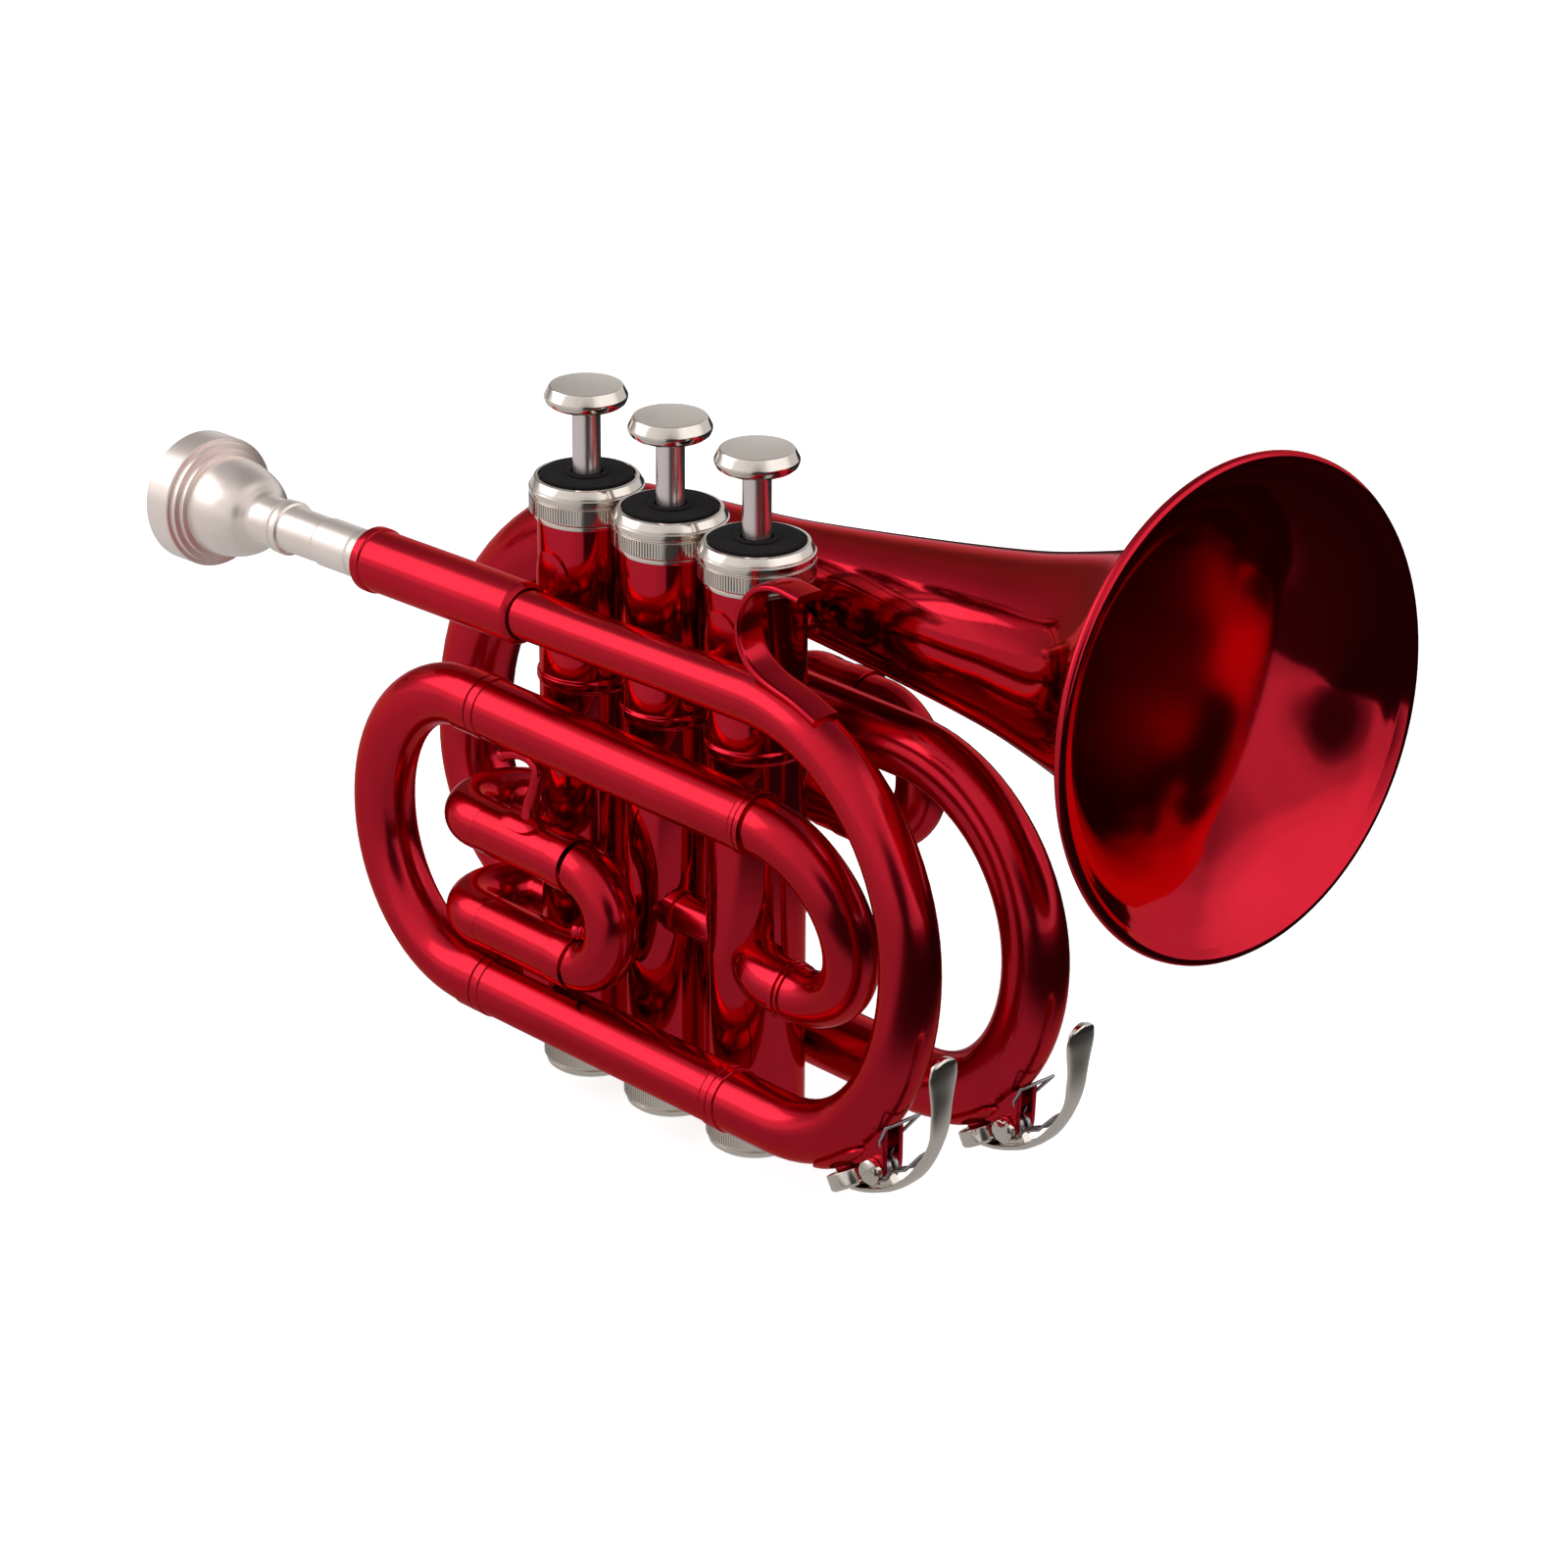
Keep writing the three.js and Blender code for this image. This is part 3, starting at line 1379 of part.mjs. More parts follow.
addLeadpipeLine();
addTuningSlide();
addInnerBow();
addValves();
addIntervalveTubes();
addFirstSlide();
addSecondSlide();
addThirdSlide();
addBellLine();
addBraces();
addWaterKeys();

export default root;
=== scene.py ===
"""A red lacquered pocket trumpet: the looks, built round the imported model, in metres."""

import math

import bmesh
import bpy
from mathutils import Matrix, Vector


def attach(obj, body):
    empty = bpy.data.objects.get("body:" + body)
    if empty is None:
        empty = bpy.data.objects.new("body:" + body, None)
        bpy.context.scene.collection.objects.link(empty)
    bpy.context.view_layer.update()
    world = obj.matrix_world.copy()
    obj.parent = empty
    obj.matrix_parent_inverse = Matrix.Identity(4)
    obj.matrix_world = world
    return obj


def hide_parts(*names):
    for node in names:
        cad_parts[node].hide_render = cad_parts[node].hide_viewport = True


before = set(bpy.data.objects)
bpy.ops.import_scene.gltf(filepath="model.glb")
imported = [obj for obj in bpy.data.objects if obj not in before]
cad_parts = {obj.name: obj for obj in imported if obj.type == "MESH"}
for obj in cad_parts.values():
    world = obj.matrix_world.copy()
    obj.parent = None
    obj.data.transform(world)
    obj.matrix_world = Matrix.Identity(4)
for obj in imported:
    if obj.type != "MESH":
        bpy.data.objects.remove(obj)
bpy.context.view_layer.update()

# Studio: a pale table that runs out of view, which metal reflects as painted light: a painted pool
# of light about the object, painted light on the mouthpiece's near side and painted dark on the far
# side. One weak softbox behind the player's right, and a white surround with a dark wall in front
# of the bell, a grey ceiling and a dark curtain behind.
scene = bpy.context.scene
scene.view_settings.view_transform = "Standard"

photo_width, sensor_width = 1600, 36
focal_pixels = 5710.26
camera_data = bpy.data.cameras.new("studio_camera")
camera_data.sensor_width = sensor_width
camera_data.lens = sensor_width * focal_pixels / photo_width
camera_data.clip_start = 0.05
camera_data.clip_end = 50
camera = bpy.data.objects.new("studio_camera", camera_data)
scene.collection.objects.link(camera)
scene.camera = camera
azimuth, elevation, roll = (math.radians(a) for a in (46.94, 23.21, 0.29))
reach = math.cos(elevation)
back = Vector((math.sin(azimuth) * reach, -math.cos(azimuth) * reach, math.sin(elevation)))
level_right = Vector((math.cos(azimuth), math.sin(azimuth), 0))
level_up = back.cross(level_right)
right = math.cos(roll) * level_right + math.sin(roll) * level_up
up = -math.sin(roll) * level_right + math.cos(roll) * level_up
facing_back = Matrix((right, up, back)).transposed().to_4x4()
camera.matrix_world = Matrix.Translation((0.73812, -0.66013, 0.49223)) @ facing_back

lamp = bpy.data.lights.new("key_softbox", "AREA")
lamp.shape = "RECTANGLE"
lamp.size, lamp.size_y = 1.0, 0.7
lamp.energy = 3.0
softbox = bpy.data.objects.new("key_softbox", lamp)
towards = Vector((-0.62, -0.5, 0.5)).normalized()
aimed = towards.to_track_quat("Z", "Y").to_matrix().to_4x4()
softbox.matrix_world = Matrix.Translation(Vector((0, 0, 0.07)) + 1.2 * towards) @ aimed
scene.collection.objects.link(softbox)


def levels(tree, value, stops):
    """A grey level that follows a value through soft stops of (value, level)."""
    low, high = stops[0][0], stops[-1][0]
    span = tree.nodes.new("ShaderNodeMapRange")
    span.inputs["From Min"].default_value = low
    span.inputs["From Max"].default_value = high
    tree.links.new(value, span.inputs["Value"])
    ramp = tree.nodes.new("ShaderNodeValToRGB")
    ramp.color_ramp.interpolation = "EASE"
    tree.links.new(span.outputs["Result"], ramp.inputs[0])
    elements = ramp.color_ramp.elements
    while len(elements) < len(stops):
        elements.new(0.5)
    for element, (at, level) in zip(elements, stops):
        element.position = (at - low) / (high - low)
        element.color = (level, level, level, 1)
    return ramp.outputs["Color"]


def facing(tree, vector, direction, stops):
    """A grey level that follows how nearly a vector points in a direction, from -1 to 1."""
    dot = tree.nodes.new("ShaderNodeVectorMath")
    dot.operation = "DOT_PRODUCT"
    tree.links.new(vector, dot.inputs[0])
    dot.inputs[1].default_value = Vector(direction).normalized()
    return levels(tree, dot.outputs["Value"], stops)


def both(tree, kind, one, other):
    """Two colours taken together, by the kind of mix that is named."""
    mix = tree.nodes.new("ShaderNodeMixRGB")
    mix.blend_type = kind
    mix.inputs["Fac"].default_value = 1
    tree.links.new(one, mix.inputs["Color1"])
    tree.links.new(other, mix.inputs["Color2"])
    return mix.outputs["Color"]


world = bpy.data.worlds.new("studio_surround")
scene.world = world
world.use_nodes = True
tree = world.node_tree
surround = tree.nodes["Background"]
sight = tree.nodes.new("ShaderNodeTexCoord").outputs["Generated"]
seen = tree.nodes.new("ShaderNodeLightPath")
wall_stops = [(-1, 0.72), (0, 0.74), (0.88, 0.78), (0.93, 0.65), (0.962, 0.2), (0.98, 0.06)]
wall = facing(tree, sight, (0.749, -0.629, 0.208), [*wall_stops, (1, 0.05)])
ceiling_stops = [(-1, 1), (0.6, 1), (0.74, 0.8), (0.9, 0.4), (1, 0.28)]
ceiling = facing(tree, sight, (-0.3, 0.3, 0.906), ceiling_stops)
curtain_stops = [(-1, 1), (0.82, 1), (0.93, 0.3), (1, 0.2)]
curtain = facing(tree, sight, (-0.969, 0.136, 0.208), curtain_stops)
key_stops = [(-1, 0), (0.4, 0), (0.75, 0.15), (0.97, 0.32), (1, 0.32)]
key_glow = facing(tree, sight, (-0.67, -0.5, 0.42), key_stops)
fill_stops = [(-1, 0), (0.78, 0), (0.88, 0.4), (0.95, 0.55), (1, 0.55)]
fill_glow = facing(tree, sight, (0.76, 0.355, 0.545), fill_stops)
backdrop = both(tree, "MULTIPLY", both(tree, "MULTIPLY", wall, ceiling), curtain)
studio = both(tree, "ADD", backdrop, both(tree, "ADD", key_glow, fill_glow))
shown = tree.nodes.new("ShaderNodeMixRGB")
shown.inputs["Color2"].default_value = (1, 1, 1, 1)
tree.links.new(seen.outputs["Is Camera Ray"], shown.inputs["Fac"])
tree.links.new(studio, shown.inputs["Color1"])
tree.links.new(shown.outputs["Color"], surround.inputs["Color"])

floor_mesh = bpy.data.meshes.new("table")
wide, drop = 8, -0.0004
corners = [(-wide, -wide, drop), (wide, -wide, drop), (wide, wide, drop), (-wide, wide, drop)]
floor_mesh.from_pydata(corners, [], [(0, 1, 2, 3)])
floor = bpy.data.objects.new("table", floor_mesh)
scene.collection.objects.link(floor)
paper = bpy.data.materials.new("white_paper")
paper.use_nodes = True
tree = paper.node_tree
sheet = tree.nodes["Principled BSDF"]
sheet_sockets = {"Base Color": (0.86, 0.86, 0.86, 1), "Emission Color": (1, 1, 1, 1)}
sheet_sockets |= {"Roughness": 0.9, "Specular IOR Level": 0.1}
for socket, value in sheet_sockets.items():
    sheet.inputs[socket].default_value = value
seen = tree.nodes.new("ShaderNodeLightPath")
lift = tree.nodes.new("ShaderNodeMath")
lift.operation = "MULTIPLY"
lift.inputs[1].default_value = 0.75
tree.links.new(seen.outputs["Is Camera Ray"], lift.inputs[0])
tree.links.new(lift.outputs[0], sheet.inputs["Emission Strength"])
# For glossy rays only, the floor glows with painted light: a painted pool of light about the
# object, painted light towards -X and -Y, and painted dark on the other side.
spot = tree.nodes.new("ShaderNodeTexCoord").outputs["Object"]
away = tree.nodes.new("ShaderNodeVectorMath")
away.operation = "DISTANCE"
away.inputs[1].default_value = (0.02, 0, 0)
tree.links.new(spot, away.inputs[0])
under = levels(tree, away.outputs["Value"], [(0, 0.45), (0.09, 0.42), (0.14, 0.05), (0.17, 0)])
painted_side_stops = [(-0.3, 0.02), (0.02, 0.05), (0.07, 0.5), (0.3, 0.64), (1, 0.66)]
painted_side_light = facing(tree, spot, (-0.73, -0.68, 0), painted_side_stops)
painted_floor_shine = both(tree, "LIGHTEN", painted_side_light, under)
glow = tree.nodes.new("ShaderNodeEmission")
tree.links.new(painted_floor_shine, glow.inputs["Color"])
blend = tree.nodes.new("ShaderNodeMixShader")
tree.links.new(seen.outputs["Is Glossy Ray"], blend.inputs["Fac"])
tree.links.new(sheet.outputs[0], blend.inputs[1])
tree.links.new(glow.outputs[0], blend.inputs[2])
tree.links.new(blend.outputs[0], tree.nodes["Material Output"].inputs["Surface"])
floor_mesh.materials.append(paper)

# Leadpipe: drawn brass tube that runs from the receiver to a large open bow at the front and back
# under it, growing a little on the way. Plated, then sprayed with clear red lacquer.
mm = 0.001


def mottled(name, sockets, tones, scale, detail=2, haze=None, grain=None, kind="Noise"):
    """A finish on object space: tones are two stops of (place, colour), haze the roughness's range,
    grain the scale, detail, strength and depth of a fine bump. sockets are the shader's own."""
    if name in bpy.data.materials:
        return bpy.data.materials[name]
    finish = bpy.data.materials.new(name)
    finish.use_nodes = True
    nodes, links = finish.node_tree.nodes, finish.node_tree.links
    shader = nodes["Principled BSDF"]
    for socket, value in sockets.items():
        shader.inputs[socket].default_value = value
    place = nodes.new("ShaderNodeTexCoord").outputs["Object"]

    def pattern(scale, detail):
        texture = nodes.new("ShaderNodeTex" + kind)
        texture.inputs["Scale"].default_value = scale
        if kind == "Noise":
            texture.inputs["Detail"].default_value = detail
        links.new(place, texture.inputs["Vector"])
        return texture.outputs[0]

    clouds = pattern(scale, detail)
    tone = nodes.new("ShaderNodeValToRGB")
    for element, (at, colour) in zip(tone.color_ramp.elements, tones):
        element.position = at
        element.color = (*colour, 1)
    links.new(clouds, tone.inputs[0])
    links.new(tone.outputs["Color"], shader.inputs["Base Color"])
    if haze:
        span = nodes.new("ShaderNodeMapRange")
        span.inputs["To Min"].default_value, span.inputs["To Max"].default_value = haze
        links.new(clouds, span.inputs["Value"])
        links.new(span.outputs["Result"], shader.inputs["Roughness"])
    if grain:
        bump = nodes.new("ShaderNodeBump")
        bump.inputs["Strength"].default_value, bump.inputs["Distance"].default_value = grain[2:]
        links.new(pattern(*grain[:2]), bump.inputs["Height"])
        links.new(bump.outputs["Normal"], shader.inputs["Normal"])
    return finish


def lacquered(name="sprayed_red_lacquer", low=0.19, high=0.26):
    """Red lacquer over polished plate, with the soft waviness of a sprayed coat."""
    coat = {"Coat Weight": 0.18, "Coat Roughness": 0.05, "Specular Tint": (0.95, 0.3, 0.35, 1)}
    reds = [(0.3, (0.5, 0.006, 0.02)), (0.7, (0.58, 0.008, 0.026))]
    return mottled(name, {"Metallic": 1, **coat}, reds, 38, 4, (low, high), (420, 1, 0.04, 0.0002))


def corner(place, incoming, outgoing, before, after, steps=20):
    """Points of a conic that rounds one corner, true arc where both lengths are alike."""
    turn = incoming.angle(outgoing)
    weight = math.cos(turn / 2)
    start = place - before * incoming
    end = place + after * outgoing
    points = []
    for i in range(steps + 1):
        t = i / steps
        a, b, c = (1 - t) ** 2, 2 * t * (1 - t) * weight, t * t
        points.append((a * start + b * place + c * end) / (a + b + c))
    return points


def bent(*knots):
    """Places and radii along a run of knots in mm: (x, y, z, r) or (x, y, z, r, before, after)."""
    places = [Vector(k[:3]) for k in knots]
    headings = []
    for a, b in zip(places, places[1:]):
        step = b - a
        headings.append(step.normalized() if step.length > 1e-3 else headings[-1])
    path = []
    for i, k in enumerate(knots):
        if len(k) == 4:
            path.append([places[i], k[3]])
            continue
        before, after = k[4], k[-1]
        points = corner(places[i], headings[i - 1], headings[i], before, after)
        for j, point in enumerate(points):
            path.append([point, k[3] if 2 * j == len(points) - 1 else None])
    known = [i for i, (_, r) in enumerate(path) if r is not None]
    for low, high in zip(known, known[1:]):
        lengths = [0]
        for i in range(low, high):
            lengths.append(lengths[-1] + (path[i + 1][0] - path[i][0]).length)
        for i in range(low + 1, high):
            share = lengths[i - low] / lengths[-1]
            path[i][1] = path[low][1] * (1 - share) + path[high][1] * share
    return path


def level(y, z, rows):
    """Knots along X at one place and height, from rows of x and radius."""
    return [(x, y, z, r) for x, r in rows]


def step(x, y, z, r_from, r_to, run):
    """Knots of a small turned step on a tube along X, its outer edge broken."""
    rise = r_to - r_from
    edge, lip = 0.12 * run, 0.02 * run
    if rise > 0:
        return level(y, z, [(x, r_from), (x + lip, r_from + 0.6 * rise), (x + edge, r_to)])
    return level(y, z, [(x - edge, r_from), (x - lip, r_from + 0.4 * rise), (x, r_to)])


def node_tree(name, inputs, kinds, links, output):
    """A tree from tables: inputs by name and kind, nodes by name and kind, and its links."""
    tree = bpy.data.node_groups.new(name, "GeometryNodeTree")
    for label, kind in inputs:
        tree.interface.new_socket(label, in_out="INPUT", socket_type="NodeSocket" + kind)
    tree.interface.new_socket(output, in_out="OUTPUT", socket_type="NodeSocketGeometry")
    nodes = {"given": tree.nodes.new("NodeGroupInput"), "result": tree.nodes.new("NodeGroupOutput")}
    for label, kind in kinds:
        nodes[label] = tree.nodes.new(kind)
    for start, leaving, end, entering in links:
        tree.links.new(nodes[start].outputs[leaving], nodes[end].inputs[entering])
    return tree, nodes


# A circle swept along a line of points, whose radius is kept in the attribute tube_radius.
tube_tree, parts = node_tree(
    "drawn_tube",
    (("Line", "Geometry"), ("Sides", "Int"), ("Finish", "Material")),
    (
        ("line", "GeometryNodeMeshToCurve"), ("radius", "GeometryNodeInputNamedAttribute"),
        ("sized", "GeometryNodeSetCurveRadius"), ("ring", "GeometryNodeCurvePrimitiveCircle"),
        ("skin", "GeometryNodeCurveToMesh"), ("plain", "GeometryNodeRealizeInstances"),
        ("coat", "GeometryNodeSetMaterial"),
    ),
    (
        ("given", "Line", "line", "Mesh"), ("line", "Curve", "sized", "Curve"),
        ("radius", "Attribute", "sized", "Radius"), ("given", "Sides", "ring", "Resolution"),
        ("sized", "Curve", "skin", "Curve"), ("ring", "Curve", "skin", "Profile Curve"),
        ("radius", "Attribute", "skin", "Scale"), ("skin", "Mesh", "plain", "Geometry"),
        ("plain", "Geometry", "coat", "Geometry"), ("given", "Finish", "coat", "Material"),
        ("coat", "Geometry", "result", "Tube"),
    ),
    "Tube",
)
parts["radius"].inputs["Name"].default_value = "tube_radius"
parts["ring"].inputs["Radius"].default_value = 1
parts["skin"].inputs["Fill Caps"].default_value = True


def outward(mesh, crease=32):
    """Merged, faces out, and smooth but for edges sharper than the crease."""
    work = bmesh.new()
    work.from_mesh(mesh)
    bmesh.ops.remove_doubles(work, verts=work.verts, dist=1e-7)
    bmesh.ops.recalc_face_normals(work, faces=work.faces)
    work.to_mesh(mesh)
    work.free()
    mesh.shade_smooth()
    mesh.set_sharp_from_angle(angle=math.radians(crease))
    return mesh


def made_of(mesh, finish):
    mesh.materials.clear()
    mesh.materials.append(finish)


def made(name, mesh, finish):
    made_of(mesh, finish)
    piece = bpy.data.objects.new(name, mesh)
    scene.collection.objects.link(piece)
    return piece


def evaluated(piece):
    """The mesh that a piece's modifiers make, as plain data, with the modifiers removed."""
    bpy.context.view_layer.update()
    depsgraph = bpy.context.evaluated_depsgraph_get()
    mesh = bpy.data.meshes.new_from_object(piece.evaluated_get(depsgraph))
    piece.modifiers.clear()
    piece.data = mesh
    return piece


def grown(mesh, tree, sizes):
    """The plain mesh that a Geometry Nodes tree makes from a mesh and its named sizes."""
    piece = bpy.data.objects.new("start", mesh)
    scene.collection.objects.link(piece)
    modifier = piece.modifiers.new(tree.name, "NODES")
    modifier.node_group = tree
    for item in tree.interface.items_tree:
        if item.name in sizes:
            modifier[item.identifier] = sizes[item.name]
    grown_mesh = evaluated(piece).data
    bpy.data.objects.remove(piece)
    return grown_mesh


def drawn_mesh(path, finish, sides=56, matrix=None):
    """A tube with closed ends along a path of places and radii in mm."""
    line = bpy.data.meshes.new("line")
    points = [p * mm for p, _ in path]
    if matrix:
        points = [matrix @ p for p in points]
    line.from_pydata(points, [(i, i + 1) for i in range(len(points) - 1)], [])
    radii = line.attributes.new("tube_radius", "FLOAT", "POINT")
    for item, (_, r) in zip(radii.data, path):
        item.value = r * mm
    return outward(grown(line, tube_tree, {"Sides": sides, "Finish": finish}))


def drawn(name, path, finish, sides=56):
    return made(name, drawn_mesh(path, finish, sides), finish)


lead_y, lead_z, lead_slope = -18, 102, 0.035


def lead_height(x):
    return lead_z + lead_slope * x


lower_z = 19.5
front_bow = bent(
    (-37.8, lead_y, lead_height(-37.8), 4.9),
    (26, lead_y, lead_height(26), 4.9),
    (84.6, lead_y, lead_height(84.6), 5.5, 41.6, 43.2),
    (84.6, lead_y, lower_z, 6.1, 41.8, 34.5),
    *step(38, lead_y, lower_z, 6.1, 6.45, -1),
    *level(lead_y, lower_z, [(36.4, 6.45), (36.3, 6.25), (36.1, 6.25), (36, 6.45)]),
    *step(34.3, lead_y, lower_z, 6.45, 6.1, -1),
)
leadpipe = drawn("leadpipe_and_front_bow", front_bow, lacquered())
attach(leadpipe, "body")
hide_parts("leadpipe", "leadpipe_front_bow")

# Receiver: a turned brass socket soldered over the leadpipe's end. Its mouth is bored to the
# mouthpiece's taper, and its nose is dressed down thin on the pipe.


def rounded(rows, radius, closed=False):
    """An outline in mm whose corners are rounded to a radius, or less on short sides."""
    points = [Vector(row) for row in rows]
    count, steps = len(points), 4
    outline = []
    for i, point in enumerate(points):
        if not closed and i in (0, count - 1):
            outline.append(point)
            continue
        before = points[i - 1] - point
        after = points[(i + 1) % count] - point
        reach = min(radius, 0.45 * before.length, 0.45 * after.length)
        if reach < 1e-4 or before.angle(after) > math.radians(172):
            outline.append(point)
            continue
        start = point + reach * before.normalized()
        end = point + reach * after.normalized()
        for k in range(steps + 1):
            t = k / steps
            outline.append((1 - t) ** 2 * start + 2 * t * (1 - t) * point + t * t * end)
    return [tuple(p) for p in outline]


def placed(x, y, z, towards):
    """A matrix, in metres, that puts a turned piece's axis on a direction at a place in mm."""
    turn = Vector(towards).to_track_quat("Z", "Y").to_matrix().to_4x4()
    return Matrix.Translation(Vector((x, y, z)) * mm) @ turn


def oval(sides, p=1, q=1):
    """Places round a circle of radius 1. Powers under 1 square it up."""
    turns = [2 * math.pi * k / sides for k in range(sides)]
    pairs = [(math.cos(a), math.sin(a)) for a in turns]
    return [(math.copysign(abs(c) ** p, c), math.copysign(abs(s) ** q, s)) for c, s in pairs]


def stitched(verts, rings, faces=(), crease=32, matrix=None):
    """A mesh of points with faces between rings of them that follow one another."""
    faces = list(faces)
    for low, high in zip(rings, rings[1:]):
        for k in range(len(low)):
            n = (k + 1) % len(low)
            face = list(dict.fromkeys([low[k], low[n], high[n], high[k]]))
            if len(face) > 2:
                faces.append(face)
    mesh = bpy.data.meshes.new("stitched")
    mesh.from_pydata(verts, [], faces)
    if matrix:
        mesh.transform(matrix)
    return outward(mesh, crease)


def turned_mesh(rows, matrix, closed=False, sides=96, crease=32):
    """A mesh spun from rows of radius and height in mm. Rows on the axis close to a pole."""
    verts, rings = [], []
    for r, h in rows:
        if r < 1e-5:
            rings.append([len(verts)] * sides)
            verts.append((0, 0, h * mm))
            continue
        rings.append(range(len(verts), len(verts) + sides))
        verts += [(r * mm * c, r * mm * s, h * mm) for c, s in oval(sides)]
    if closed:
        rings.append(rings[0])
    return stitched(verts, rings, (), crease, matrix)


receiver_rows = [
    (5.7, 0), (6.6, 0), (6.6, 2.2), (6.2, 2.5), (6.2, 44.8), (5.35, 45.9), (5.1, 45.9),
    (5.1, 26.5),
]
receiver_rows = rounded(receiver_rows, 0.3, True)
receiver_place = placed(-67, lead_y, lead_height(-67), (1, 0, lead_slope))
receiver = made("receiver", turned_mesh(receiver_rows, receiver_place, True), lacquered())
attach(receiver, "body")
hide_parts("mouthpiece_receiver")

# Mouthpiece: one piece of turned brass, silver plated. Rim, cup wall with two fine steps, a round
# cup, the neck with its bead, and a long taper that wedges in the receiver.


def plated(name, colour, low, high, grain, metallic=1):
    """Polished plate: the colour barely varies, and fine turning marks show in the roughness."""
    tones = [(0.25, [0.9 * c for c in colour]), (0.75, colour)]
    fine = (grain, 2, 0.05, 0.0001)
    return mottled(name, {"Metallic": metallic}, tones, 70, 5, (low, high), fine)


def silver():
    return plated("bright_silver", (0.92, 0.8, 0.74), 0.24, 0.32, 500, 0.75)


def nickel():
    return plated("bright_nickel", (0.78, 0.7, 0.63), 0.08, 0.17, 700)


def smooth_rows(rows, steps=6):
    """A smooth curve through rows of two numbers."""
    points = [Vector(r) for r in rows]
    ends = [2 * points[0] - points[1], *points, 2 * points[-1] - points[-2]]
    curve = []
    for a, b, c, d in zip(ends, ends[1:], ends[2:], ends[3:]):
        for k in range(steps):
            t = k / steps
            square = 2 * a - 5 * b + 4 * c - d
            cube = 3 * b - a - 3 * c + d
            curve.append(0.5 * (2 * b + (c - a) * t + square * t * t + cube * t**3))
    return [tuple(p) for p in curve] + [tuple(points[-1])]


shank = [(4.5, 0), (4.66, 29.6), (4.95, 30.2), (4.98, 40), (4.68, 40.6), (4.74, 50.6)]
bead = [(4.85, 51.1), (5.35, 51.4), (5.6, 52), (5.6, 52.7), (5.25, 53.1), (5.2, 53.4), (5.5, 53.8)]
neck = [(5.5, 54.3), (5.2, 54.8), (5, 55.1)]
cup = [(5, 55.6), (5.1, 58.2), (5.35, 60), (6.3, 61.3), (7.9, 63.2), (9.2, 66.3), (9.95, 70)]
cup = smooth_rows([*cup, (10.1, 73.2)])
steps_up = [(11.1, 73.4), (11.25, 74.4), (12.3, 74.6), (12.45, 75.7)]
rim = [(13.2, 75.85), (13.4, 76.1), (13.4, 82.3), (12.9, 83.1), (12, 83.45), (10.9, 83.5)]
rim_in = [(10, 83.4), (9.2, 82.9), (8.6, 82), (8.3, 80.5)]
bowl = smooth_rows([(8.2, 79.4), (7.9, 74.5), (6.9, 69), (5.1, 64), (3.2, 61), (1.9, 59.4)])
backbore = [(1.85, 56.8), (2.7, 37.6), (3.9, 0)]
mouthpiece_rows = [*shank, *bead, *neck, *cup, *steps_up, *rim, *rim_in, *bowl, *backbore]
mouthpiece_place = placed(-41, lead_y, lead_height(-41), (-1, 0, -lead_slope))
mouthpiece_mesh = turned_mesh(mouthpiece_rows, mouthpiece_place, True, 128, 24)
mouthpiece = made("mouthpiece_turned", mouthpiece_mesh, silver())
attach(mouthpiece, "mouthpiece")
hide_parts("mouthpiece")

# Main tuning slide: two straight outer tubes soldered to the body, and the U-shaped slide whose
# plain inner legs run in them. Ferrules mask the joints.


def sleeve(rows, x, y, z, towards=(1, 0, 0), edge=0.14):
    """A straight outer tube, turned from an outline of its wall."""
    return turned_mesh(rounded(rows, edge, True), placed(x, y, z, towards), True, 64)


tuning_y, tuning_high, tuning_low = lead_y, 78.6, lower_z
outer_r, outer_bore, outer_back = 6.1, 5.6, -33
for word, z, front_x in (("upper", tuning_high, 41.95), ("lower", tuning_low, 33.95)):
    outline = [(6.4, outer_back), (6.4, outer_back + 2.2), (outer_r, outer_back + 2.25)]
    outline += [(outer_r, front_x), (outer_bore, front_x), (outer_bore, outer_back)]
    mesh = sleeve(outline, 0, tuning_y, z, edge=0.16)
    outer_tube = made("tuning_outer_" + word, mesh, lacquered())
    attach(outer_tube, "body")
    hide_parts("tuning_outer_tube_" + word)

slide_leg = [(2, 5.3), (-33.25, 5.3), (-33.3, 6.3), (-33.45, 6.4), (-38.45, 6.4), (-38.6, 6.3)]
slide_leg += [(-38.65, 6.1)]
tuning_bow = bent(
    *level(tuning_y, tuning_high, slide_leg),
    (-65.75, tuning_y, tuning_high, 6.1, 26.8, 29.25),
    (-65.75, tuning_y, tuning_low, 6.1, 29.25, 26.8),
    *reversed(level(tuning_y, tuning_low, slide_leg)),
)
tuning_slide = drawn("tuning_slide_bow", tuning_bow, lacquered())
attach(tuning_slide, "tuning_slide")
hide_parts("main_tuning_slide")

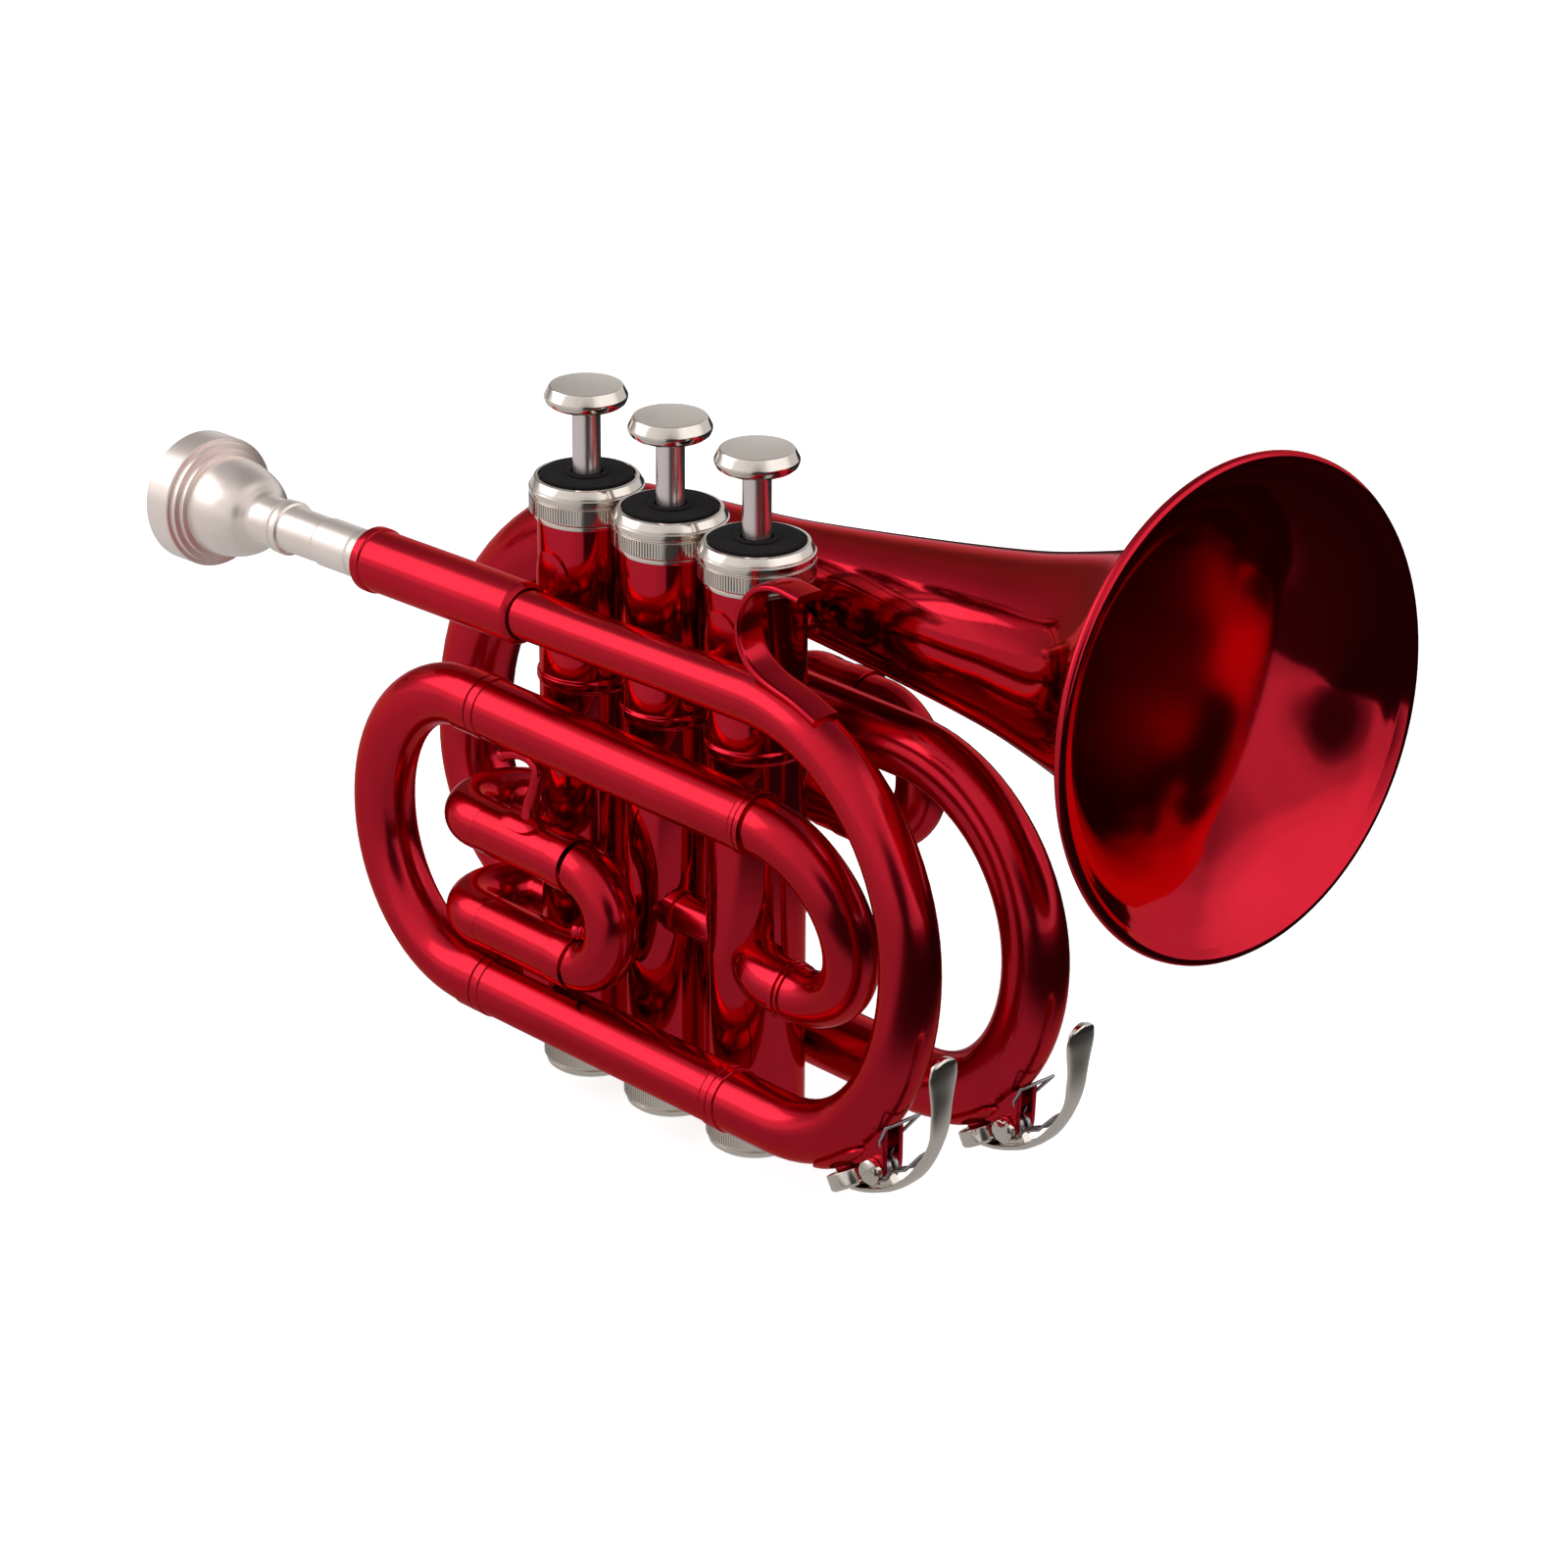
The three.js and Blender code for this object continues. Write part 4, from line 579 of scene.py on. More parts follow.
# Inner bow: carries the wind from the tuning slide's upper tube down and back into valve 3.
# A knuckle tube with a wide lip takes its lower end.
inner_y, inner_z = -9, 41.8
inner_drop = math.hypot(tuning_high - inner_z, inner_y - tuning_y) / 2 - 0.05
inner_path = bent(
    *step(42.3, tuning_y, tuning_high, 6.1, 6.45, 1),
    *level(tuning_y, tuning_high, [(43.5, 6.45), (43.55, 6.2), (43.75, 6.2), (43.8, 6.45)]),
    *step(45, tuning_y, tuning_high, 6.45, 5.7, 1),
    (64, tuning_y, tuning_high, 5.4, 18.6, inner_drop),
    (64, inner_y, inner_z, 5.4, inner_drop, 18.3),
    *step(45.4, inner_y, inner_z, 5.4, 5.8, -1),
    *level(inner_y, inner_z, [(44.7, 5.8), (44.6, 5.5), (44.3, 5.5)]),
    *step(44.2, inner_y, inner_z, 5.5, 5.95, -1),
    *level(inner_y, inner_z, [(43.1, 5.95), (42.9, 5.4)]),
    (35.6, inner_y, inner_z, 5.4, 5, 5),
    (27, -2.6, inner_z, 5.4),
)
inner_bow = drawn("inner_bow_tube", inner_path, lacquered())
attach(inner_bow, "body")
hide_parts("inner_bow")

# Valve casings: three thick brass tubes in a row, honed inside, with a raised ring above their
# middle. Short tubes, cut to the casings' walls, carry the wind from one casing to the next.


def burnished():
    """The same lacquer over metal that was buffed flat, so it reflects sharply."""
    return lacquered("burnished_red_lacquer", 0.07, 0.11)


def cut(piece, shapes, finish):
    """Takes the room of some meshes out of a piece, one after the other."""
    for shape in shapes:
        cutter = made("cutter", shape, finish)
        cutting = piece.modifiers.new("cut", "BOOLEAN")
        cutting.object = cutter
        cutting.operation = "DIFFERENCE"
        evaluated(piece)
        bpy.data.objects.remove(cutter)
    made_of(outward(piece.data), finish)


valve_places = ((1, -24), (2, 0), (3, 24))
casing_r, casing_bore = 9.6, 8.6
casing_rows = [
    (casing_r, 7.8),
    (casing_r, 82.8),
    (10.05, 83.3),
    (10.05, 84.8),
    (casing_r, 85.3),
    (casing_r, 120.5),
    (casing_bore, 120.5),
    (casing_bore, 7.8),
]
casing_rows = rounded(casing_rows, 0.2, True)
for number, x in valve_places:
    mesh = turned_mesh(casing_rows, placed(x, 0, 0, (0, 0, 1)), True)
    casing = made(f"casing_{number}", mesh, burnished())
    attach(casing, "body")
    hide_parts(f"valve_casing_{number}")
wall_r = (casing_r + casing_bore) / 2
wall_rows = [(0, 35), (wall_r, 35), (wall_r, 55), (0, 55)]
for first, x in valve_places[:2]:
    widths = ((1, 4.1), (6.7, 4.1), (6.9, 4.6), (8.9, 4.6), (9.1, 4.1), (23, 4.1))
    link_path = [(Vector((x + d, -4.6, 44.8)), r) for d, r in widths]
    linking = drawn(f"linking_tube_{first}_{first + 1}", link_path, lacquered())
    walls = [turned_mesh(wall_rows, placed(end, 0, 0, (0, 0, 1))) for end in (x, x + 24)]
    cut(linking, walls, lacquered())
    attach(linking, "body")
    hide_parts(f"intervalve_tube_{first}_{first + 1}")

# Caps: turned, nickel plated. The top cap has a fine straight knurl for the fingers, a groove and
# a bevelled rim round a black felt washer. The bottom cap is shallow, with its own knurl.

# Cubes on the points of a circle, each turned to face out, then set at the cap's height.
knurl_tree, parts = node_tree(
    "straight_knurl",
    (
        ("Start", "Geometry"), ("Ribs", "Int"), ("Radius", "Float"), ("Rib Width", "Float"),
        ("Rib Height", "Float"), ("Centre", "Vector"), ("Finish", "Material"),
    ),
    (
        ("ring", "GeometryNodeMeshCircle"), ("rib", "GeometryNodeMeshCube"),
        ("size", "ShaderNodeCombineXYZ"), ("heading", "FunctionNodeAlignRotationToVector"),
        ("place", "GeometryNodeInputPosition"), ("scatter", "GeometryNodeInstanceOnPoints"),
        ("plain", "GeometryNodeRealizeInstances"), ("shift", "GeometryNodeTransform"),
        ("coat", "GeometryNodeSetMaterial"),
    ),
    (
        ("given", "Ribs", "ring", "Vertices"), ("given", "Radius", "ring", "Radius"),
        ("given", "Rib Width", "size", "X"), ("given", "Rib Width", "size", "Y"),
        ("given", "Rib Height", "size", "Z"), ("size", 0, "rib", "Size"),
        ("ring", "Mesh", "scatter", "Points"), ("rib", "Mesh", "scatter", "Instance"),
        ("place", 0, "heading", "Vector"), ("heading", 0, "scatter", "Rotation"),
        ("scatter", "Instances", "plain", "Geometry"), ("plain", "Geometry", "shift", "Geometry"),
        ("given", "Centre", "shift", "Translation"), ("shift", "Geometry", "coat", "Geometry"),
        ("given", "Finish", "coat", "Material"), ("coat", "Geometry", "result", "Knurl"),
    ),
    "Knurl",
)
parts["heading"].axis = "X"
parts["heading"].pivot_axis = "Z"


def knurl(x, z0, z1, r, ribs, width):
    """A ring of upright ribs about the valve at x, between two heights in mm."""
    sizes = {
        "Ribs": ribs,
        "Radius": (r - width / 2) * mm,
        "Rib Width": width * mm,
        "Rib Height": (z1 - z0) * mm,
        "Centre": (x * mm, 0, (z0 + z1) / 2 * mm),
        "Finish": nickel(),
    }
    return grown(bpy.data.meshes.new("start"), knurl_tree, sizes)


def joined_piece(name, meshes, finish):
    """Several meshes as one piece."""
    work = bmesh.new()
    for mesh in meshes:
        work.from_mesh(mesh)
    whole = bpy.data.meshes.new(name)
    work.to_mesh(whole)
    work.free()
    return made(name, whole, finish)


def felted():
    """Dense black felt: short fibres that scatter light, and a faint mottle."""
    sockets = {"Roughness": 0.95, "Specular IOR Level": 0.15, "Sheen Weight": 0.03}
    tones = [(0, (0.004, 0.003, 0.0035)), (1, (0.014, 0.011, 0.012))]
    return mottled("pressed_felt", sockets, tones, 1500, 3, grain=(1500, 3, 0.6, 0.0002))


top_cap_rows = [
    (9.9, 116.4), (10.15, 116.4), (10.15, 117.2), (9.85, 117.4), (9.85, 117.65),
    (10.95, 117.85), (10.95, 121.05), (10.65, 121.15), (10.65, 121.5), (11.2, 121.65),
    (11.2, 122.7), (10.9, 122.9), (10.9, 123.1), (10.15, 124.5), (9.5, 124.6), (9.4, 122.6),
    (3.3, 122.6), (3.3, 120.8), (9.85, 120.8),
]
top_cap_rows = rounded(top_cap_rows, 0.08, True)
bottom_cap_rows = [
    (0, 0.35), (2.2, 0.35), (2.5, 0.02), (8, 0.02), (9, 0.8), (9.2, 1.7), (8.9, 1.85),
    (8.9, 2.15), (9.35, 2.3), (9.35, 6.3), (9, 6.4), (9, 6.7), (9.55, 6.85), (9.55, 7.5),
    (8.3, 7.5), (8.3, 11), (7.3, 11), (7.3, 1.6), (0, 1.6),
]
bottom_cap_rows = rounded(bottom_cap_rows, 0.1)
felt_rows = [(3.5, 122.9), (9.15, 122.9), (9.15, 124.6), (8.9, 125), (3.7, 125)]
felt_rows = rounded(felt_rows, 0.25, True)
collar_rows = [(3.15, 124.9), (4.3, 124.9), (4.3, 125.2), (4, 125.35), (3.15, 125.35)]
collar_rows = rounded(collar_rows, 0.1, True)
for number, x in valve_places:
    axis = placed(x, 0, 0, (0, 0, 1))
    turned = turned_mesh(top_cap_rows, axis, True, 108)
    ribs = knurl(x, 117.95, 120.95, 11.22, 120, 0.32)
    top_cap = joined_piece(f"top_cap_knurled_{number}", [turned, ribs], nickel())
    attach(top_cap, "body")
    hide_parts(f"top_cap_{number}")
    turned = turned_mesh(bottom_cap_rows, axis)
    ribs = knurl(x, 2.4, 6.2, 9.6, 108, 0.3)
    bottom_cap = joined_piece(f"bottom_cap_knurled_{number}", [turned, ribs], nickel())
    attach(bottom_cap, "body")
    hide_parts(f"bottom_cap_{number}")
    felt = made(f"felt_washer_{number}", turned_mesh(felt_rows, axis, True, 64), felted())
    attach(felt, "body")
    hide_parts(f"cap_felt_{number}")
    collar = made(f"stem_collar_{number}", turned_mesh(collar_rows, axis, True, 48), felted())
    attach(collar, "body")

# Pistons: hard nickel alloy, lapped to the casings, with a spring barrel at the top and a plain
# rod that carries a flat nickel button. A windway crosses it, and two slots admit the guide's ears.


def honed():
    return plated("lapped_alloy", (0.78, 0.69, 0.68), 0.2, 0.3, 900)


def box_mesh(size, centre, edge=0):
    """A box in mm, its edges broken by a bevel where one is given."""
    work = bmesh.new()
    bmesh.ops.create_cube(work, size=mm)
    bmesh.ops.scale(work, verts=work.verts, vec=size)
    bmesh.ops.translate(work, verts=work.verts, vec=tuple(c * mm for c in centre))
    if edge:
        bmesh.ops.bevel(work, geom=work.edges[:], offset=edge * mm, segments=3, affect="EDGES")
    mesh = bpy.data.meshes.new("box")
    work.to_mesh(mesh)
    work.free()
    return mesh


piston_rows = [(0, 22.5), (8.3, 22.5), (8.3, 118), (5, 118), (5, 120.4), (2.75, 120.4)]
piston_rows = rounded([*piston_rows, (2.75, 139.2), (0, 139.2)], 0.25)
button_rows = [
    (0, 139.5), (3.05, 139.5), (3.05, 138.2), (4.2, 138.2), (6.9, 138.7), (7.7, 139.3),
    (8.05, 140.2), (8.05, 140.7), (7.4, 142), (7.12, 142.5), (6.95, 142.68), (0, 142.68),
]
button_rows = rounded(button_rows, 0.12)
windway_rows = [(0, -12), (4, -12), (4, 12), (0, 12)]
room_low, room_high, slot_high = 84, 116, 107
room_rows = [(0, room_low), (7, room_low), (7, room_high), (0, room_high)]
slot_size = (4, 20, slot_high - room_low)
for number, x in valve_places:
    axis = placed(x, 0, 0, (0, 0, 1))
    barrel = made(f"piston_lapped_{number}", turned_mesh(piston_rows, axis, False, 80), honed())
    windway = turned_mesh(windway_rows, placed(x, 0, 45, (1, 0, 0)), False, 32)
    room = turned_mesh(room_rows, axis, False, 64)
    slot = box_mesh(slot_size, (x, 0, (slot_high + room_low) / 2))
    cut(barrel, [windway, room, slot], honed())
    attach(barrel, f"valve_{number}")
    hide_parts(f"piston_{number}")
    button = made(f"button_turned_{number}", turned_mesh(button_rows, axis), nickel())
    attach(button, f"valve_{number}")
    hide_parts(f"finger_button_{number}")

# Springs and guides: a coil of spring wire stands on a moulded guide inside each piston's barrel.
# Both keep their CAD shape, and only take their finish here.
cream = [(0, (0.62, 0.58, 0.5)), (1, (0.74, 0.71, 0.64))]
guide_finish = mottled("moulded_guide", {"Roughness": 0.5}, cream, 300)
wire_finish = plated("spring_wire", (0.4, 0.41, 0.43), 0.2, 0.34, 1200)
for number, _ in valve_places:
    made_of(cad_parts[f"valve_guide_{number}"].data, guide_finish)
    made_of(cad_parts[f"valve_spring_{number}"].data, wire_finish)

# First valve slide: two outer tubes turned back into valve 1 with tight round bows, and a short
# slide that joins their open front ends, with a small pull knob.
first_y, first_high, first_low = lead_y, 53.3, 32.8
first_rows = [(5.4, -32.6), (5.4, -11.65), (5.6, -11.6), (5.6, -7.1), (4.9, -7.1), (4.9, -32.6)]
for word, z in (("upper", first_high), ("lower", first_low)):
    turned_back = bent(
        (-32.6, first_y, z, 5.4),
        (-43.9, first_y, z, 5.4, 8.2, 8.2),
        (-43.9, -1, z, 5.4, 8.2, 8.2),
        (-31, -1, z, 5.4),
    )
    meshes = [drawn_mesh(turned_back, lacquered()), sleeve(first_rows, 0, first_y, z)]
    outer_tube = joined_piece("first_outer_" + word, meshes, lacquered())
    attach(outer_tube, "body")
    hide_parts("first_slide_tube_" + word)


def slide_bow(at, high, low, back, shoulder, bow_end, reach, leg_r, bow_r):
    """A slide's upper leg, bow and lower leg. at() places a distance along it and a height."""
    leg = [(back, leg_r), (shoulder - 0.05, leg_r)]
    leg += [(shoulder, bow_r - 0.1), (shoulder + 0.15, bow_r)]
    return bent(
        *[(*at(d, high), r) for d, r in leg],
        (*at(bow_end, high), bow_r, reach, reach),
        (*at(bow_end, low), bow_r, reach, reach),
        *[(*at(d, low), r) for d, r in reversed(leg)],
    )


first_bow = slide_bow(
    lambda d, z: (d, first_y, z), first_high, first_low, -32, -7, 2.7, 9.75, 4.6, 5.2
)
knob_rows = [(0, 2), (1.9, 2), (1.9, 6), (1.3, 6.4), (1.2, 7.3), (1.7, 7.5), (1.7, 8), (1.1, 8.2)]
knob_rows = rounded([*knob_rows, (1.1, 8.6), (0, 8.6)], 0.15)


def ball_rows(r, middle, steps):
    """Rows of a ball of radius r about a height, its poles on the axis."""
    turns = [math.pi * k / steps for k in range(1, steps)]
    rows = [(r * math.sin(a), middle - r * math.cos(a)) for a in turns]
    return [(0, middle - r), *rows, (0, middle + r)]


knob_place = placed(2.7, first_y, 42, (-1, 0, -0.24))
knob = turned_mesh(knob_rows, knob_place, False, 32)
ball = turned_mesh(ball_rows(1.75, 9.8, 16), knob_place, False, 32)
meshes = [drawn_mesh(first_bow, lacquered()), knob, ball]
first_slide = joined_piece("first_slide_bow", meshes, lacquered())
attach(first_slide, "first_slide")
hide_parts("first_valve_slide")

# Second valve slide: the shortest one, a brass bow on two short legs that run in outer tubes
# soldered to the back of casing 2. It pulls out towards the bell side.
second_high, second_low = 42, 30
second_rows = [(5, 9.2), (5, 16.8), (5.25, 16.9), (5.25, 19), (4.5, 19), (4.5, 9.2)]
for word, z in (("upper", second_high), ("lower", second_low)):
    mesh = sleeve(second_rows, 0, 0, z, (0, 1, 0))
    outer_tube = made("second_outer_" + word, mesh, lacquered())
    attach(outer_tube, "body")
    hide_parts("second_slide_tube_" + word)
second_bow = slide_bow(
    lambda d, z: (0, d, z), second_high, second_low, 11.5, 19.3, 30, 5.7, 4.2, 5
)
second_slide = drawn("second_slide_bow", second_bow, lacquered())
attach(second_slide, "second_slide")
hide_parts("second_valve_slide")

# Third valve slide: on the far side under the bell. Its two drawn outer tubes curl down and in to
# valve 3, where they are soldered, and the slide's legs run in their open front ends.
third_y, third_high, third_low = 30, 84, 59.5
third_rows = [(5.4, 12), (5.4, 17.9), (5.65, 18), (5.65, 23.2), (4.9, 23.2), (4.9, 12)]
for word, z, port_z in (("upper", third_high, 67.2), ("lower", third_low, 55.2)):
    curl = bent(
        (12.2, 30.25, z, 5.4),
        (2, 30.6, z, 5.4, 8, 8),
        (2, 22, port_z, 5.4, 6, 6),
        (17, 9.6, port_z, 5.4),
    )
    meshes = [drawn_mesh(curl, lacquered()), sleeve(third_rows, 0, third_y, z)]
    outer_tube = joined_piece("third_outer_" + word, meshes, lacquered())
    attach(outer_tube, "body")
    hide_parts("third_slide_tube_" + word)
third_bow = slide_bow(
    lambda d, z: (d, third_y, z), third_high, third_low, 14, 23.5, 38.2, 11.7, 4.6, 5.1
)
third_slide = drawn("third_slide_bow", third_bow, lacquered())
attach(third_slide, "third_slide")
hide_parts("third_valve_slide")

# Bell side: a tube out of valve 1, the second large bow at the front, and the tail bow that sweeps
# up at the back into the bell's stem.
side_y, side_high, side_low = 17.5, 85.3, 17.5
upper_path = bent(
    (-24, 8, 74, 6.2),
    (-24, side_y, 74, 6.2, 8.4, 8.4),
    (4, side_y, side_high, 6.2, 10, 4.5),
    *step(8.5, side_y, side_high, 6.2, 6.6, 1),
    *step(12.2, side_y, side_high, 6.6, 6.2, 1),
)
upper_tube = drawn("bell_side_upper", upper_path, lacquered())
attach(upper_tube, "body")
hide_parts("bell_side_upper_tube")
side_path = bent(
    (12.3, side_y, side_high, 6.2),
    (81.7, side_y, side_high, 6.2, 33.9, 33.9),
    (81.7, side_y, side_low, 6.6, 33.9, 31),
    (-40, side_y, side_low, 6.6),
)
side_bow = drawn("bell_side_bow", side_path, lacquered())
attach(side_bow, "body")
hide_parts("bell_side_front_bow")

bell_y, bell_slope = 25, 0.06


def bell_height(x):
    return 107.3 + bell_slope * (x - 15)


seam = [(-44.3, 6.6), (-44.25, 6.9), (-44.1, 7), (-40.45, 7), (-40.3, 6.9)]
tail_path = bent(
    (-20.3, bell_y, bell_height(-20.3), 9.2),
    (-83.3, 23, bell_height(-83.3), 8, 51, 46),
    (-83.3, 19, 17.8, 7.2, 31, 39),
    *level(side_y, side_low, seam),
)
tail_bow = drawn("tail_bow", tail_path, lacquered(), 64)
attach(tail_bow, "body")
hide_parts("bell_tail_bow")

# Bell: spun from one sheet of brass and burnished, its rim rolled over a wire. It is soldered to
# the tail bow, and its throat keeps a duller lacquer than its flare.
bell_outer = smooth_rows(
    [
        (9.21, 145), (9.96, 124.7), (11.05, 110.2), (14.0, 81.9), (16.78, 59.5), (19.22, 46),
        (23.22, 30), (27.4, 20), (31.82, 13.05), (36.1, 8), (40.8, 4.06), (43.76, 2.32),
        (45.9, 1.2),
    ],
    8,
)
turns = [math.radians(90 - 27 * k) for k in range(9)]
bell_rim = [(45.85 + 1.1 * math.cos(a), 1.15 + 1.1 * math.sin(a)) for a in turns]
bell_length, bell_wall = 145, 0.75
bell_inner = [(r - bell_wall, b - 0.25 * (1 - min(b / 60, 1))) for r, b in bell_outer]
bell_rows = [*bell_outer, *bell_rim, *reversed(bell_inner[:-4])]
bell_rows = [(r, bell_length - b) for r, b in bell_rows]
bell_place = placed(-20, bell_y, bell_height(-20), (1, 0, bell_slope))


def spun():
    """The burnished lacquer, hazier down the throat, where no buff reaches."""
    finish = lacquered("spun_red_lacquer", 0.07, 0.11)
    nodes, links = finish.node_tree.nodes, finish.node_tree.links
    place = nodes.new("ShaderNodeTexCoord")
    split = nodes.new("ShaderNodeSeparateXYZ")
    links.new(place.outputs["Object"], split.inputs[0])
    haze = nodes.new("ShaderNodeMapRange")
    haze.interpolation_type = "SMOOTHSTEP"
    throat_and_flare = {"From Min": 0.08, "From Max": 0.116, "To Min": 0.3, "To Max": 0.09}
    for socket, value in throat_and_flare.items():
        haze.inputs[socket].default_value = value
    links.new(split.outputs["X"], haze.inputs["Value"])
    links.new(haze.outputs["Result"], nodes["Principled BSDF"].inputs["Roughness"])
    return finish


bell_mesh = turned_mesh(bell_rows, bell_place, True, 192, 50)
bell = made("bell_spun", bell_mesh, burnished())
bell_mesh.materials.append(spun())
bell_axis = bell_place.to_3x3() @ Vector((0, 0, 1))
for face in bell_mesh.polygons:
    arm = face.center - bell_place.translation
    spoke = arm - arm.dot(bell_axis) * bell_axis
    face.material_index = 1 if spoke.dot(face.normal) < 0 else 0
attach(bell, "body")
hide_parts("bell")

# Finger hook: a flat brass strip bent to an open C, its edges rounded. It is soldered on top of the
# leadpipe's front bow and lacquered with it.


def strip_mesh(rows, width_at, thickness, y, matrix=None, dish=0.0):
    """A loft along a smooth line of X and Z rows: a flat rounded section whose width follows
    width_at(share along), dished by a share of its width on the left of the line."""
    sides = 20
    points = [Vector((x, 0, z)) for x, z in smooth_rows(rows)]
    verts = []
    for i, point in enumerate(points):
        share = i / (len(points) - 1)
        before, after = points[max(i - 1, 0)], points[min(i + 1, len(points) - 1)]
        heading = (after - before).normalized()
        out = Vector((-heading.z, 0, heading.x))
        width = width_at(share)
        for c, s in oval(sides, 0.5, 0.7):
            across, off = c * width / 2, s * thickness / 2
            sag = dish * width * (1 - (2 * across / max(width, 1e-3)) ** 2)
            verts.append((point + out * (off - sag) + Vector((0, y + across, 0))) * mm)
    rings = [range(i * sides, (i + 1) * sides) for i in range(len(points))]
    return stitched(verts, rings, (rings[0], rings[-1]), 40, matrix)


hook_rows = [
    (62, 105.2), (55.6, 107.4), (48, 109.2), (43.2, 112), (41.2, 117), (42.4, 122.2), (46, 126.2),
    (51, 127.9), (57.6, 127.5),
]
hook_mesh = strip_mesh(hook_rows, lambda share: 6.6, 1.6, lead_y)
hook = made("finger_hook_strip", hook_mesh, lacquered())
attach(hook, "body")
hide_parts("finger_hook")

# Braces: short turned brass posts soldered between the tubes, the casings and the bell, some on
# oval flanges. An arched rod and a small block hold the first slide's outer tubes.


def laid_plate(height, width, thick, at, corners=1.0):
    """An oval or rounded plate laid on a curved surface and thinning to its edge. at() turns a
    distance round the surface, a distance along it and a height over it, all mm, into a place."""
    sides, count = 48, 6
    verts = []
    for layer in (1, 0):
        for j in range(count + 1):
            share = j / count
            for c, s in oval(sides, corners, corners):
                u, v = share * width / 2 * c, share * height / 2 * s
                verts.append(at(u, v, layer * thick * (1 - 0.45 * share**4)) * mm)
    rings = [range(i * sides, (i + 1) * sides) for i in range(2 * count + 2)]
    top, under = rings[: count + 1], rings[count + 1 :]
    return stitched(verts, [*top, *reversed(under)], (), 40)


def round_by(r, u, t):
    """Across and out from a round surface's axis, at a distance u round it and t over it."""
    return (r + t) * math.sin(u / r), (r + t) * math.cos(u / r)


def on_casing(x, z):
    """Places on the near side of a casing at x, about a height z."""

    def at(u, v, t):
        across, out = round_by(casing_r, u, t)
        return Vector((x + across, -out, z + v))

    return at


def on_level_tube(x, y, z, r):
    """Places on the top of a tube along X, about x."""

    def at(u, v, t):
        across, out = round_by(r, u, t)
        return Vector((x + v, y + across, z + out))

    return at


for number, x, pipe_r in ((1, -24, 6.2), (3, 24, 4.9)):
    z = lead_height(x)
    plate = laid_plate(14, 9.4, 1.05, on_casing(x, z + 3))
    far = -lead_y - pipe_r + 0.6
    post_rows = [(0, 9.4), (2.9, 9.4), (2.35, 10.4), (2.3, 11.4), (2.5, far), (0, far)]
    post = turned_mesh(post_rows, placed(x, 0, z, (0, -1, 0)), False, 40)
    brace = joined_piece(f"leadpipe_post_{number}", [plate, post], lacquered())
    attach(brace, "body")
    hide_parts(f"leadpipe_brace_{number}")

foot = laid_plate(10.5, 8.5, 1.1, on_level_tube(-21.6, first_y, first_high, 5.4), 0.7)
arch_rows = [(-20.9, 59.0), (-20.6, 62.2), (-19.1, 66.6), (-18.5, 69.6), (-20.2, 71.3)]
arch_rows += [(-23, 71.55), (-26, 70.9), (-28.6, 69.9)]
thickness = [2.1, 1.6, 1.35, 1.3, 1.2, 1.1, 1.05, 1.05]
arch_path = []
for i, (x, z) in enumerate(smooth_rows(arch_rows, 7)):
    share = i / 7
    low = min(int(share), 6)
    r = thickness[low] + (thickness[low + 1] - thickness[low]) * (share - low)
    arch_path.append((Vector((x, first_y, z)), r))
tip = turned_mesh(ball_rows(1.4, 0, 12), placed(-28.8, first_y, 69.8, (0, 0, 1)), False, 24)
meshes = [foot, drawn_mesh(arch_path, lacquered(), 24), tip]
upper_brace = joined_piece("slide_post", meshes, lacquered())
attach(upper_brace, "body")
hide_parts("slide_brace_upper")

block_mesh = outward(box_mesh((9, 3, 2.2), (-18, first_y, 26.3), 0.6))
lower_brace = made("slide_block", block_mesh, lacquered())
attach(lower_brace, "body")
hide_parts("slide_brace_lower")

for number, x, far in ((1, -24, 16.6), (3, 24, 12.9)):
    z = bell_height(x)
    lean = Vector((0, bell_y, z - 101)).normalized()
    rows = [(0, 9.4), (3.6, 9.5), (2.5, 10.6), (2.4, 11.5), (2.5, far - 0.6), (3.2, far + 0.4)]
    post = turned_mesh([*rows, (0, far + 0.4)], placed(x, 0, 101, lean), False, 40)
    brace = made(f"bell_post_{number}", post, lacquered())
    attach(brace, "body")
    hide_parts(f"bell_brace_{number}")

# Water keys: a saddle soldered under each front bow, with a short nipple and two ears. A sprung
# nickel lever turns on a slotted screw between the ears and holds a cork on the nipple.


def corky():
    sockets = {"Roughness": 0.85}
    tones = [(0, (0.42, 0.25, 0.12)), (1, (0.2, 0.1, 0.04))]
    grain = (1100, None, 0.4, 0.0001)
    return mottled("pressed_cork", sockets, tones, 1100, grain=grain, kind="Voronoi")


def key_frame(front_x, run, low_z, rise, y, tube_r):
    """Where a key sits on its bow: X along the bow towards its front, Z out from its surface."""
    c, s = math.cos(math.radians(64)), math.sin(math.radians(64))
    place = Vector((front_x - run + run * c, y, low_z + rise - rise * s))
    along = Vector((run * s, 0, rise * c)).normalized()
    out = Vector((along.z, 0, -along.x))
    across = out.cross(along)
    place += out * tube_r
    turn = Matrix((along, across, out)).transposed().to_4x4()
    return Matrix.Translation(place * mm) @ turn


